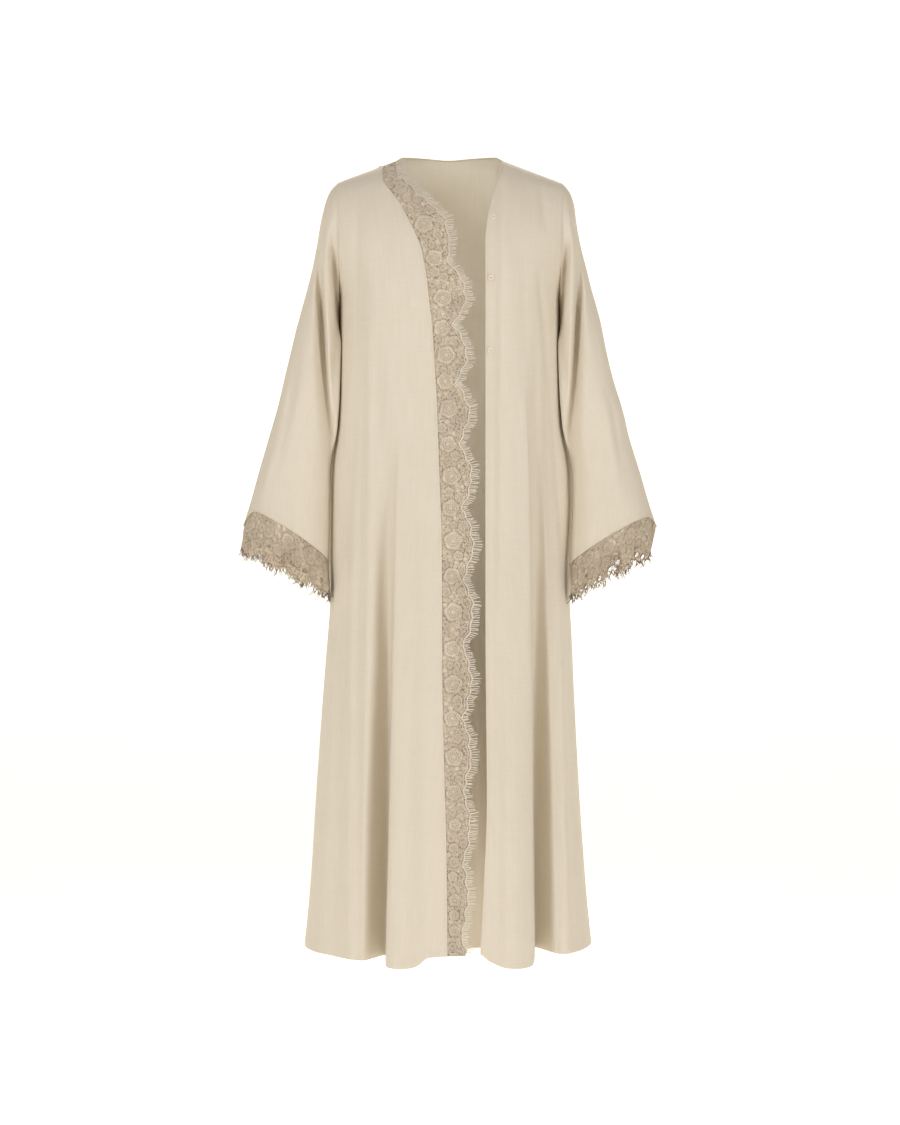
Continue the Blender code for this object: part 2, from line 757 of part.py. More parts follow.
def fringe(name, edge, outward, faces, length, closed, colour):
    """A narrow strip beside a lace edge, with four-sided lashes on every second piece."""
    data = bmesh.new()
    count = len(edge)
    rings = []
    for n in range(count):
        root = edge[n] + outward[n] * SEAM
        tip = root + outward[n] * STRIP_WIDTH
        lift = faces[n] * STRIP_WALL / 2
        rings.append([data.verts.new(p) for p in (root + lift, tip + lift, tip - lift, root - lift)])
    spans = count if closed else count - 1
    for n in range(spans):
        a = rings[n]
        b = rings[(n + 1) % count]
        for k, m in ((0, 1), (2, 3), (3, 0)):
            data.faces.new([a[k], a[m], b[m], b[k]])
        if n % 2 == 0:
            data.faces.new([a[1], a[2], b[2], b[1]])
            continue
        middle = (a[1].co + a[2].co + b[1].co + b[2].co) / 4
        share, step = LASH_UNEVEN
        reach = length * (1 + share * math.sin(n * step))
        away = Vector(outward[n] + outward[(n + 1) % count]).normalized()
        point = data.verts.new(middle + away * reach)
        for p, q in ((a[1], a[2]), (a[2], b[2]), (b[2], b[1]), (b[1], a[1])):
            data.faces.new([p, q, point])
    if not closed:
        data.faces.new(rings[0])
        data.faces.new(rings[-1])
    bmesh.ops.recalc_face_normals(data, faces=data.faces)
    return add_object(name, data, colour, 0.8)


def finer(points, parts, closed=False):
    """A polyline with each span cut into equal parts."""
    count = len(points) if closed else len(points) - 1
    made = []
    for n in range(count):
        for k in range(parts):
            made.append(blend(points[n], points[(n + 1) % len(points)], k / parts))
    if not closed:
        made.append(points[-1])
    return np.array(made)


def ring_value(ring, turn, ring_turns):
    """Value at a turn on a ring whose members stand at ring_turns."""
    place = (turn % 360) / (ring_turns[1] - ring_turns[0])
    i = int(place) % len(ring)
    return blend(ring[i], ring[(i + 1) % len(ring)], place - int(place))


def cuff_rings(side_sign, sleeve_ring, turns, sleeve_turns):
    """Rows of points of a cuff lace at some turns, hanging from the sleeve's last ring."""
    drop = CUFF_DROP.rows()[0 if side_sign < 0 else 1]
    outer = np.array([drop["x_out"], drop["middle"], drop["z_out"]]) * MM
    inner = np.array([drop["x_in"], drop["middle"], drop["z_in"]]) * MM
    rows = [[] for _ in range(CUFF_ROWS + 1)]
    for turn in turns:
        top = ring_value(sleeve_ring, turn, sleeve_turns)
        angle = math.radians(turn)
        low = (outer + inner) / 2 + (outer - inner) / 2 * math.cos(angle)
        low[1] -= drop["half"] * MM * math.sin(angle)
        wave = abs(math.cos(angle * CUFF_SCALLOPS / 2))
        low += unit(low - top) * CUFF_SCALLOP_DEPTH * (wave - CUFF_SCALLOP_MEAN)
        start = top + unit(low - top) * LACE_SEAM
        for n in range(CUFF_ROWS + 1):
            rows[n].append(blend(start, low, n / CUFF_ROWS))
    return np.array(rows)


def side_normal(normal, outward):
    """A normal at the parting of a cuff's two halves, turned to lie level with X and Z."""
    away = unit(outward * np.array([1, 0, 0.2]))
    level = normal * np.array([1, 0, 1])
    if np.linalg.norm(level) < 0.3:
        return away
    return unit(level if level @ away > 0 else -level)


def cuff_lace(side, sleeve_ring, ring_normals):
    """Front and back halves of a cuff's lace, and the fringe round its lower edge."""
    word = "right" if side.sign < 0 else "left"
    sleeve_turns = [360.0 * j / SLEEVE_SIDES for j in range(SLEEVE_SIDES)]
    parting = math.degrees(SEAM / 2 / CUFF_HALF)
    gaps = [(row["row"], row["column"], row["size"]) for row in CUFF_GAPS.rows()]
    for half, first in (("front", 0.0), ("back", 180.0)):
        turns = np.linspace(first + parting, first + 180 - parting, CUFF_COLUMNS + 1)
        points = cuff_rings(side.sign, sleeve_ring, turns, sleeve_turns)
        inward = np.array([0, CUFF_HALF if half == "front" else -CUFF_HALF, 0])
        normals = grid_normals(points, points - points.mean(axis=1, keepdims=True) - inward)
        normals[0] = [ring_value(ring_normals, turn, sleeve_turns) for turn in turns]
        middle = CUFF_COLUMNS // 2
        for column in (0, -1):
            for i in range(1, CUFF_ROWS + 1):
                normals[i, column] = side_normal(normals[i, column], points[i, column] - points[i, middle])
        wall(f"lace_cuff_{word}_{half}", points, normals, LACE, LACE_COLOUR, 0.8, gaps=gaps)
    turns = np.linspace(0, 360, 2 * CUFF_COLUMNS, endpoint=False)
    ring = cuff_rings(side.sign, sleeve_ring, turns, sleeve_turns)
    edge = finer(ring[-1], 2, closed=True)
    above = finer(ring[-2], 2, closed=True)
    outward = np.array([unit(a - b) for a, b in zip(edge, above)])
    normals = grid_normals(ring, ring - ring.mean(axis=1, keepdims=True), closed=True)
    faces = finer(normals[-1], 2, closed=True)
    faces = np.array([unit(f - (f @ o) * o) for f, o in zip(faces, outward)])
    centred = edge - faces * LACE / 2
    fringe(f"fringe_cuff_{word}", centred, outward, faces, CUFF_LASH, True, LACE_COLOUR)


def button(name, x, z, tree):
    """A round button with a raised rim and a dome in its middle, standing on the cloth."""
    hit, normal, _, _ = tree.ray_cast(Vector((x, -1.0, z)), Vector((0, 1, 0)))
    if normal.y > 0:
        normal = -normal
    data = bmesh.new()
    turn = normal.to_track_quat("Z", "Y").to_matrix()
    origin = hit + normal * BUTTON_STAND
    rings = []
    for point in BUTTON_PROFILE.rows():
        radius = point["radius"]
        height = point["height"]
        count = BUTTON_SIDES if radius > 0 else 1
        ring = []
        for n in range(count):
            angle = 2 * math.pi * n / count
            local = Vector((math.cos(angle) * radius, math.sin(angle) * radius, height)) * BUTTON_RADIUS
            ring.append(data.verts.new(origin + turn @ local))
        rings.append(ring)
    for low, high in zip(rings, rings[1:]):
        for n in range(BUTTON_SIDES):
            m = (n + 1) % BUTTON_SIDES
            corners = [low[n % len(low)], low[m % len(low)], high[m % len(high)], high[n % len(high)]]
            data.faces.new(list(dict.fromkeys(corners)))
    bmesh.ops.recalc_face_normals(data, faces=data.faces)
    return add_object(name, data, BUTTON_COLOUR, 0.45)


def front_lace(edge, edge_normals):
    """The scalloped lace of the right front and its fringe."""
    points, normals = lace_grid(edge, edge_normals)
    places = lace_places(edge)
    levels = [along_polyline(edge, place)[2] for place in places]
    gaps = []
    for peak in SCALLOP_PEAKS[1:-1]:
        row = int(np.argmin([abs(level - peak * MM) for level in levels]))
        for gap in LACE_GAPS.rows():
            gaps.append((row + gap["row"], gap["column"], gap["size"]))
    wall("lace_front", points, normals, LACE, LACE_COLOUR, 0.8, gaps=gaps)
    rim = points[:, -1] - normals[:, -1] * LACE / 2
    across = points[:, -1] - points[:, -2]
    edge_line = finer(rim[1:], LASHES_PER_ROW)
    outward = np.array([unit(v) for v in finer(across[1:], LASHES_PER_ROW)])
    faces = finer(normals[1:, -1], LASHES_PER_ROW)
    faces = np.array([unit(f - (f @ o) * o) for f, o in zip(faces, outward)])
    fringe("fringe_front", edge_line, outward, faces, LASH_LENGTH, False, LACE_COLOUR)


def build():
    for item in list(bpy.data.objects):
        bpy.data.objects.remove(item, do_unlink=True)
    right_points, right_normals = front_grid(RIGHT)
    wall("front_right", right_points, right_normals, CLOTH, CLOTH_COLOUR, 0.75)
    left_points, left_normals = front_grid(LEFT)
    left_front = wall("front_left", left_points, left_normals, CLOTH, CLOTH_COLOUR, 0.75)
    back_points, back_normals = back_grid()
    wall("back", back_points, back_normals, CLOTH, CLOTH_COLOUR, 0.75)
    front_lace(right_points[:, -1], right_normals[:, -1])
    for side, table in ((RIGHT, SLEEVE_RIGHT), (LEFT, SLEEVE_LEFT)):
        points, normals = sleeve_grid(side, table)
        word = "right" if side.sign < 0 else "left"
        wall(f"sleeve_{word}", points, normals, CLOTH, CLOTH_COLOUR, 0.75, closed=True)
        cuff_lace(side, points[-1], normals[-1])
    tree = BVHTree.FromPolygons(
        [v.co[:] for v in left_front.data.vertices], [p.vertices[:] for p in left_front.data.polygons]
    )
    for n, (x, z) in enumerate(BUTTONS):
        button(f"button_{n + 1}", x, z, tree)


build()
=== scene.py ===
"""Looks of the open-front abaya cloak: crepe panels, net lace with corded flowers and fringe, buttons.

Lengths in the tables are millimetres and become metres when they are read. The outlines of the panels and
sleeves and the folds of the body are those of the solids, with finer columns and rows. The fullness beside
the sleeves, the deeper fold in each sleeve, the finer hem lines and the creases are added here.
"""
import math

import bmesh
import bpy
import numpy as np
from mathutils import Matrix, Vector


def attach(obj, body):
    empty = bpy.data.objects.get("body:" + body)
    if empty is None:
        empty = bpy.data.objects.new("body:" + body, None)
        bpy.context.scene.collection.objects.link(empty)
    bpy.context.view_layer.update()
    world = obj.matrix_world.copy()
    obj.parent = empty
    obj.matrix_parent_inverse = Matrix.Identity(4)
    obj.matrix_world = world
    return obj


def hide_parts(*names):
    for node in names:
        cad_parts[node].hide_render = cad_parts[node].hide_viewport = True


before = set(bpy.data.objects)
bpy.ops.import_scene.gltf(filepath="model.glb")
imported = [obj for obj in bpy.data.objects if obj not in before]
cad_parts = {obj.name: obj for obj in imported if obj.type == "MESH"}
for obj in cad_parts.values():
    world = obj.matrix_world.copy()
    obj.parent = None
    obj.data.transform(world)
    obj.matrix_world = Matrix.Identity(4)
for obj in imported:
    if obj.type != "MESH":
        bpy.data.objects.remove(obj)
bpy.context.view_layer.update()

MM = 0.001
ROUNDNESS = 2.4  # power of the oval that the body's level sections follow
ARM_FADE_LIMITS = (1.2, 4.0)
TIP_RIGHT = (-194.6 * MM, -38.3 * MM)  # shoulder tips and underarm points, x and z
TIP_LEFT = (200.9 * MM, -40.0 * MM)
PIT_RIGHT = (-190.2 * MM, -238.0 * MM)
PIT_LEFT = (193.2 * MM, -238.0 * MM)
NECK_RIGHT = (-92.8 * MM, 0.0)
NECK_LEFT = (95.6 * MM, 0.0)
LACE_START = (-116.6 * MM, -8.8 * MM)  # where the right front's edge meets the shoulder seam
ARMHOLE_DEPTH = 52.0 * MM
ARM_FADE = 0.95  # how fast the armhole's own depth gives way to the body's
PIT_Z = PIT_RIGHT[1]
HEM_Z = -1390.0 * MM
BACK_HEM_Z = -1400.0 * MM

SHELL = 0.8 * MM  # thickness of the crepe
HEM_SHELL = 1.5 * MM  # thickness where it is turned up
HEM_BAND = 14.0 * MM
NET = 0.5 * MM  # thickness of the net
LACE_TUCK = 7.0 * MM  # lace that is sewn on behind an edge
CUFF_TUCK = 9.0 * MM  # and inside a sleeve's hem
LACE_GAP = 0.9 * MM  # from the cloth's inner face to the lace behind it

FOLD_FADE = 45.0 * MM  # folds are flat at the sides and full this far in front of them or behind
SEAM_REACH = 0.06  # share of the width over which a front follows its standing seam
BACK_SEAM_REACH = 0.09
SWELL_PLACE = 0.97  # share of the back's width where it swells out most
SWELL_REACH = 0.035
PIT_REACH = 11.0 * MM  # evening out of the depth above and below the underarm's level
CALM_COLUMNS = 5.0  # creases are flat at a panel's side and full after this many columns
SLEEVE_SQUEEZE = 20.0 * MM  # how much flatter a sleeve's inner line is beside the underarm
INNER_FORWARD = 12.0 * MM  # how far a sleeve's inner front edge stands forward
INNER_TOWARD = 7.0 * MM  # and toward the body
CREASE_ROWS = (0.3, 2.5, 12.5)  # rows where a sleeve's creases start, are full and begin to fade

BODY_ROWS = (52, 150)  # rows beside the armhole and below it
FRONT_COLUMNS = 90
BACK_COLUMNS = 124
SLEEVE_SIZE = (126, 104)  # rows and sides


class Table:
    """Rows of named columns, read smoothly along the first one."""

    def __init__(self, names, rows, scale=MM):
        self.names = names.split()
        values = np.array(rows, float)
        if values[0, 0] > values[-1, 0]:
            values = values[::-1]
        self.values = values * scale

    def rows(self):
        return [dict(zip(self.names, row)) for row in self.values]

    def at(self, name, key):
        """Monotone cubic through the column's values, for one key or an array of them."""
        keys = self.values[:, 0]
        column = self.values[:, self.names.index(name)]
        steps = np.diff(keys)
        slopes = np.diff(column) / steps
        tangents = np.zeros(len(keys))
        for i in range(1, len(keys) - 1):
            if slopes[i - 1] * slopes[i] > 0:
                tangents[i] = 2 * slopes[i - 1] * slopes[i] / (slopes[i - 1] + slopes[i])
        tangents[0] = slopes[0]
        tangents[-1] = slopes[-1]
        key = np.clip(np.asarray(key, float), keys[0], keys[-1])
        i = np.clip(np.searchsorted(keys, key, side="right") - 1, 0, len(keys) - 2)
        t = (key - keys[i]) / steps[i]
        return (
            column[i] * (1 + 2 * t) * (1 - t) ** 2
            + tangents[i] * steps[i] * t * (1 - t) ** 2
            + column[i + 1] * t * t * (3 - 2 * t)
            + tangents[i + 1] * steps[i] * t * t * (t - 1)
        )


BODY = Table(
    "z right left front back",
    [
        (-238, 190.2, 193.2, 120, 108),
        (-420, 190.4, 193.0, 124, 106),
        (-600, 196.7, 196.5, 131, 108),
        (-705, 202.0, 202.5, 137, 114),
        (-800, 209.5, 214.0, 142, 122),
        (-950, 221.4, 221.0, 150, 136),
        (-1125, 233.5, 230.0, 159, 152),
        (-1300, 244.5, 242.0, 168, 167),
        (-1400, 254.0, 251.5, 173, 176),
    ],
)

# Turn is the angle round the armhole, from the shoulder at 0 to the underarm at 180 degrees.
YOKE = Table(
    "turn front back",
    [
        (0, 0, 0),
        (18, 21, 20),
        (36, 46, 43),
        (54, 70, 64),
        (72, 89, 81),
        (90, 103, 92),
        (108, 111, 99),
        (126, 115.5, 104),
        (144, 118.4, 106.8),
        (162, 119.7, 107.8),
        (172, 119.95, 107.96),
        (180, 120, 108),
    ],
    scale=1.0,
)

EDGE_RIGHT = Table(
    "z x",
    [
        (-8.8, -116.6),
        (-37, -115.5),
        (-62, -101),
        (-84, -85.5),
        (-110, -72),
        (-138, -58.5),
        (-169, -47),
        (-212, -39.1),
        (-256, -33.9),
        (-299, -29),
        (-356, -25.3),
        (-414, -21.8),
        (-480, -19.2),
        (-565, -16.2),
        (-651, -13.2),
        (-737, -12),
        (-900, -11.5),
        (-1070, -8),
        (-1198, -4.6),
        (-1400, -2.5),
    ],
)

EDGE_LEFT = Table(
    "z x",
    [
        (0, 95.6),
        (-30, 89.6),
        (-69, 76.9),
        (-124, 66.2),
        (-159, 63.8),
        (-203, 64.1),
        (-840, 63.8),
        (-942, 64.6),
        (-1113, 66),
        (-1283, 60.2),
        (-1400, 54),
    ],
)

FOLD_COLUMNS = "z_start z_full x_top x_hem width width_hem depth lean"
FOLDS_RIGHT = Table(
    FOLD_COLUMNS,
    [
        (-400, -1250, -103, -122, 12, 17, 62, 17),
        (-620, -1200, -152, -184, 10, 14, 12, -3),
        (-300, -900, -162, -205, 9, 16, 7, 0),
        (-420, -1300, -62, -80, 20, 27, -17, -3),
        (-150, -480, -149, -158, 7, 9, 5, 2),
    ],
)
FOLDS_LEFT = Table(
    FOLD_COLUMNS,
    [
        (-360, -1250, 152, 163, 12, 18, 64, -17),
        (-400, -1300, 112, 110, 22, 30, -16, 0),
        (-700, -1250, 196, 212, 12, 16, 7, 2),
        (-60, -300, 92, 84, 6, 7, 4, 0),
        (-250, -520, 168, 196, 6, 8, 5, -3),
    ],
)
LIP_COLUMNS = "z_start z_full x_top x_hem width shift"
LIPS_RIGHT = Table(LIP_COLUMNS, [(-410, -640, -78, -97, 8, -9), (-900, -1300, -172, -190, 7, -4)])
LIPS_LEFT = Table(LIP_COLUMNS, [(-350, -560, 128, 138, 8, 9), (-900, -1300, 186, 200, 7, 4)])
FOLDS_BACK = Table(
    FOLD_COLUMNS,
    [
        (-480, -1250, -152, -182, 18, 26, 26, 6),
        (-560, -1250, -74, -92, 18, 27, 30, -6),
        (-430, -1250, 6, 4, 20, 28, 24, 3),
        (-600, -1250, 88, 100, 18, 26, 32, 6),
        (-520, -1250, 160, 186, 18, 24, 24, -6),
        (-500, -1300, -34, -44, 20, 26, -10, 0),
        (-500, -1300, 46, 54, 20, 28, -12, 0),
    ],
)

# How far the back swells out beside each sleeve, where the two hang against each other.
SIDE_SWELL = Table(
    "z right left",
    [
        (-205, 0, 0),
        (-240, 11, 11),
        (-268, 14, 14),
        (-331, 16, 16),
        (-396, 18, 18),
        (-464, 20, 21),
        (-521, 24, 29),
        (-555, 25, 32),
        (-600, 25, 32),
        (-664, 23, 29),
        (-712, 18, 22),
        (-752, 12, 14),
        (-778, 5, 5),
        (-804, 0, 0),
    ],
)

# How far the side seam itself stands out between the underarm and the cuff.
SEAM_SWELL = Table(
    "z right left",
    [
        (-330, 0, 0),
        (-400, 1.5, 2),
        (-464, 4, 5),
        (-494, 5, 8),
        (-522, 8.2, 13),
        (-555, 9.8, 16.5),
        (-600, 9.2, 17),
        (-650, 7.8, 13),
        (-700, 6, 7.5),
        (-750, 1.5, 2),
        (-800, 0, 0),
    ],
)

HEM_RIGHT = Table(
    "x z",
    [
        (-254, -1378),
        (-190, -1385),
        (-150, -1388),
        (-124, -1384),
        (-108, -1386),
        (-97, -1395),
        (-82, -1397),
        (-62, -1396),
        (-49, -1391),
        (-36, -1380),
        (0, -1377),
    ],
)
HEM_LEFT = Table(
    "x z",
    [
        (54, -1373),
        (70, -1386),
        (95, -1396),
        (124, -1398),
        (136, -1396),
        (148, -1380),
        (160, -1373),
        (200, -1381),
        (225, -1379),
        (252, -1373),
    ],
)
HEM_BACK = Table("x z", [(-254, -1380), (-150, -1402), (0, -1412), (150, -1402), (252, -1378)])

NECK_BACK = Table(
    "x y z",
    [
        (-92.8, 0, 0),
        (-80, 27, 10),
        (-45, 54, 12),
        (0, 66, 10),
        (45, 54, 12),
        (82, 27, 10),
        (95.6, 0, 0),
    ],
)

SLEEVE_COLUMNS = "row x_out z_out x_in z_in middle half"
SLEEVE_RIGHT = Table(
    SLEEVE_COLUMNS,
    [
        (0, -194.6, -38.3, -190.2, -238.0, 0, 52),
        (1, -208.6, -54.1, -192.6, -268, 0, 54),
        (2, -219.2, -80.5, -193.0, -299, -1, 55),
        (3, -226.2, -112, -193.4, -331, -3, 56),
        (4, -232.3, -151, -194.2, -362, -5, 56),
        (5, -240.2, -193, -195.0, -396, -7, 55),
        (6, -250.8, -235, -196.0, -431, -10, 54),
        (7, -263.1, -281, -198.0, -464, -13, 53),
        (8, -275.4, -328, -200.5, -494, -16, 52),
        (9, -286.8, -383, -204.0, -521, -19, 51),
        (10, -300.0, -435, -206.6, -552, -22, 50),
        (11, -314.9, -488, -207.4, -584, -25, 50),
        (12, -329.9, -541, -208.0, -622, -28, 50),
        (13, -342.2, -587, -208.5, -664, -31, 50),
        (14, -351.8, -618, -209.5, -706, -34, 50),
    ],
)
SLEEVE_LEFT = Table(
    SLEEVE_COLUMNS,
    [
        (0, 200.9, -40.0, 193.2, -238.0, 0, 52),
        (1, 214.1, -57.7, 195.4, -268, 0, 54),
        (2, 222.0, -82.3, 196.0, -301, -1, 55),
        (3, 226.4, -112, 196.6, -333, -3, 56),
        (4, 233.4, -151, 197.2, -364, -5, 56),
        (5, 243.1, -193, 198.2, -398, -7, 55),
        (6, 252.7, -235, 199.8, -431, -10, 54),
        (7, 264.1, -281, 202.4, -464, -13, 53),
        (8, 274.7, -328, 206.2, -494, -16, 52),
        (9, 287.9, -383, 212.0, -522, -19, 51),
        (10, 303.7, -435, 215.6, -555, -22, 50),
        (11, 317.8, -488, 216.6, -590, -25, 50),
        (12, 332.7, -541, 216.0, -629, -28, 50),
        (13, 346.8, -592, 213.6, -671, -31, 50),
        (14, 358.6, -628, 211.5, -712, -34, 50),
    ],
)
SLEEVE_LAST = 14

# A fold's turn is the angle from the sleeve's outer line, across its front, to its inner line.
SLEEVE_FOLDS = Table(
    "row_start row_full row_end turn_top turn_hem width depth",
    [
        (3.2, 5.2, 12.5, 42, 226, 20, 33),
        (7, 10, 14, 42, 62, 10, 4),
        (8, 12, 15, 80, 100, 16, 6),
        (6, 11, 15, 235, 250, 16, 9),
        (8, 12, 15, 290, 300, 16, 7),
    ],
    scale=1.0,
)

SCALLOP_PEAKS = [-130, -251, -352, -448, -558, -674, -792, -911, -1036, -1159, -1280, -1396]
LACE_WIDTH = Table(
    "z valley peak",
    [
        (0, 24, 24),
        (-40, 27, 27),
        (-90, 36, 40),
        (-130, 40, 54),
        (-251, 38, 64),
        (-352, 34, 56),
        (-700, 37, 54),
        (-1036, 33, 46),
        (-1280, 27, 36),
        (-1396, 24, 31),
    ],
)
LASH_LENGTH = 14.5 * MM
LASH_PITCH = 3.6 * MM
LASH_RADIUS = 0.95 * MM
CORD_RADIUS = 1.5 * MM

CUFF_DROP = Table(
    "side x_out z_out x_in z_in middle half",
    [(-1, -362, -682, -207.5, -762, -38, 52), (1, 352, -690, 214, -764, -38, 52)],
    scale=1.0,
)
CUFF_SCALLOPS = 10
CUFF_SCALLOP_DEPTH = 11.0 * MM
CUFF_LASH = 12.0 * MM
CUFF_LASH_PITCH = 3.3 * MM
CUFF_LASH_RADIUS = 0.62 * MM
CUFF_CORD_RADIUS = 0.95 * MM

BUTTONS = [(76.6 * MM, -109.6 * MM), (72.4 * MM, -217.0 * MM), (71.6 * MM, -342.0 * MM)]
BUTTON_BODY = (4.7 * MM, 1.7 * MM)  # radius and thickness
BUTTON_RIM = (4.6 * MM, 0.85 * MM)  # radius of the ring and of its section
BUTTON_DISH = (2.9 * MM, 0.3 * MM)
BUTTON_HOLE = (0.75 * MM, 0.3 * MM)  # radius and thickness
BUTTON_HOLE_PLACE = 0.85 * MM  # from the button's middle
BUTTON_THREAD = (0.28 * MM, 2.1 * MM)  # radius and length
BUTTON_LEVELS = (1.15, 1.7, 1.98, 1.99, 2.3)  # heights of these five over the cloth, in millimetres


def deselect():
    """Leaves nothing selected, because an operator acts on all that is."""
    for thing in list(bpy.context.selected_objects):
        thing.select_set(False)


deselect()


def blend(a, b, t):
    return a + (b - a) * t


def units(vectors):
    """Vectors along the last axis, made one long."""
    return vectors / np.maximum(np.linalg.norm(vectors, axis=-1, keepdims=True), 1e-12)


def rise(value, start, full):
    """Smooth step from 0 at start to 1 at full."""
    t = np.clip((value - start) / (full - start), 0.0, 1.0)
    return t * t * (3 - 2 * t)


def drop_share(turn):
    """How far down the armhole a turn lies, from 0 at the shoulder to 1 at the underarm."""
    return (1 - np.cos(np.radians(turn))) / 2


class Side:
    """One half of the body: its sign along X, its shoulder, underarm and front edge."""

    def __init__(self, sign, tip, pit, neck, half, edge, folds, hem):
        self.sign = sign
        self.tip = tip
        self.pit = pit
        self.neck = neck
        self.half = half
        self.edge = edge
        self.folds = folds
        self.hem = hem

    def outer(self, turn, z):
        """The panel's side at a turn, or at a height below the underarm."""
        beside = blend(self.tip[0], self.pit[0], drop_share(turn))
        return np.where(turn < 180, beside, self.sign * BODY.at(self.half, z))


RIGHT = Side(-1, TIP_RIGHT, PIT_RIGHT, LACE_START, "right", EDGE_RIGHT, FOLDS_RIGHT, HEM_RIGHT)
LEFT = Side(1, TIP_LEFT, PIT_LEFT, NECK_LEFT, "left", EDGE_LEFT, FOLDS_LEFT, HEM_LEFT)


def folded(folds, x, y, z, face):
    """Points moved by the folds: in by their depth and sideways by their lean."""
    fade = rise(np.abs(y), 0.0, FOLD_FADE)
    for fold in folds.rows():
        grown = rise(-z, -fold["z_start"], -fold["z_full"])
        down = (z - fold["z_start"]) / (HEM_Z - fold["z_start"])
        middle = blend(fold["x_top"], fold["x_hem"], down)
        width = blend(fold["width"], fold["width_hem"], grown)
        weight = np.exp(-(((x - middle) / width) ** 2)) * grown * fade
        x = x + fold["lean"] * weight
        y = y - face * fold["depth"] * weight
    return x, y


def lipped(lips, x, z):
    """Places moved sideways so that the fullness beside a deep fold hangs over it in a crisp edge."""
    for lip in lips.rows():
        grown = rise(-z, -lip["z_start"], -lip["z_full"])
        down = (z - lip["z_start"]) / (HEM_Z - lip["z_start"])
        middle = blend(lip["x_top"], lip["x_hem"], np.clip(down, 0, 1) ** 1.3)
        x = x + lip["shift"] * grown * np.exp(-(((x - middle) / lip["width"]) ** 2))
    return x


def oval(x, side_x):
    """Share of the full depth at x on a level section whose side is at side_x."""
    return np.maximum(1 - np.abs(x / side_x) ** ROUNDNESS, 0.0) ** (1 / ROUNDNESS)


def body_y(x, z, turn, side_x, face, start=0.0):
    """Depth of the body at x, in front for face -1 and behind for face 1."""
    name = "front" if face < 0 else "back"
    last = YOKE.at(name, 180) * MM
    beside = start + (last - start) * YOKE.at(name, turn) * MM / last
    full = np.where(turn < 180, beside, BODY.at(name, z))
    arm = np.where(turn < 180, ARMHOLE_DEPTH * np.sin(np.radians(turn)), 0.0)
    share = oval(x, side_x)
    fade = np.clip(ARM_FADE * full / np.maximum(arm, MM), *ARM_FADE_LIMITS)
    return face * (full * share + arm * (1 - share) ** fade)


def body_rows(beside, below):
    """Turn and level of each row of a body panel, as columns of numbers."""
    turns = np.concatenate([180 * np.arange(beside) / beside, np.full(below + 1, 180.0)])
    levels = np.concatenate([np.zeros(beside), (np.arange(below + 1) / below) ** 0.97])
    return turns[:, None], levels[:, None]


def spread(count, dense, width, gain):
    """Steps from 0 to 1 that lie closer together near the dense places."""
    fine = np.linspace(0, 1, 600)
    density = 1 + sum(gain * np.exp(-(((fine - place) / width) ** 2)) for place in dense)
    total = np.concatenate([[0], np.cumsum((density[1:] + density[:-1]) / 2)])
    return np.interp(np.linspace(0, total[-1], count + 1), total, fine)


def front_surface(side, shares, turn, level):
    """Points of a front panel for rows of turns and levels and columns of shares."""
    neck_x, neck_z = side.neck
    c = np.where(turn < 180, drop_share(turn), 1.0)
    edge_z = np.where(turn < 180, blend(neck_z, PIT_Z, c), blend(PIT_Z, HEM_Z, level))
    side_x = side.outer(turn, edge_z)
    edge_x = side.edge.at("x", edge_z)
    last = np.arccos(np.clip(edge_x / side_x, 0, 1) ** (ROUNDNESS / 2))
    x = side_x * np.cos(last * shares) ** (2 / ROUNDNESS)
    across = (side_x - x) / (side_x - edge_x)
    beside = blend(blend(side.tip[1], neck_z, across), PIT_Z, c)
    z = np.where(turn < 180, beside, blend(PIT_Z, side.hem.at("z", x), level))
    y = body_y(x, z, turn, side_x, -1)
    seam_swell = SEAM_SWELL.at(side.half, z) * np.exp(-(((1 - x / side_x) / SEAM_REACH) ** 2))
    x, y = folded(side.folds, x, y, z, -1)
    x = x + side.sign * seam_swell
    x = lipped(LIPS_RIGHT if side.sign < 0 else LIPS_LEFT, x, z)
    return np.stack([x, y, z + 0 * x], axis=-1)


def back_surface(shares, turn, level):
    """Points of the back for rows of turns and levels; shares run from -1 to 1."""
    nominal = np.where(turn >= 180, blend(PIT_Z, BACK_HEM_Z, level), 0.0)
    right = shares < 0
    side_x = np.where(right, RIGHT.outer(turn, nominal), LEFT.outer(turn, nominal))
    x = np.abs(shares) * side_x
    tip_x = np.where(right, TIP_RIGHT[0], TIP_LEFT[0])
    tip_z = np.where(right, TIP_RIGHT[1], TIP_LEFT[1])
    neck_x = np.where(right, NECK_RIGHT[0], NECK_LEFT[0])
    top_x = np.abs(shares) * tip_x
    beyond = np.abs(top_x) >= np.abs(neck_x)
    start = np.where(beyond, 0.0, NECK_BACK.at("y", top_x))
    slope = blend(0.0, tip_z, (top_x - neck_x) / (tip_x - neck_x))
    top_z = np.where(beyond, slope, NECK_BACK.at("z", top_x))
    beside = blend(top_z, PIT_Z, drop_share(turn))
    z = np.where(turn < 180, beside, blend(PIT_Z, HEM_BACK.at("z", x), level))
    y = body_y(x, z, turn, side_x, 1, start)
    beside_sleeve = np.where(right, SIDE_SWELL.at("right", z), SIDE_SWELL.at("left", z))
    seam_swell = np.where(right, SEAM_SWELL.at("right", z), SEAM_SWELL.at("left", z))
    full_at = np.exp(-(((np.abs(shares) - SWELL_PLACE) / SWELL_REACH) ** 2))
    swell = (beside_sleeve - seam_swell) * full_at * rise(y, 0.0, 0.02)
    swell = swell + seam_swell * np.exp(-(((1 - np.abs(shares)) / BACK_SEAM_REACH) ** 2))
    x = x + np.sign(shares) * swell
    x, y = folded(FOLDS_BACK, x, y, z, 1)
    return np.stack([x, y, z + 0 * x], axis=-1)


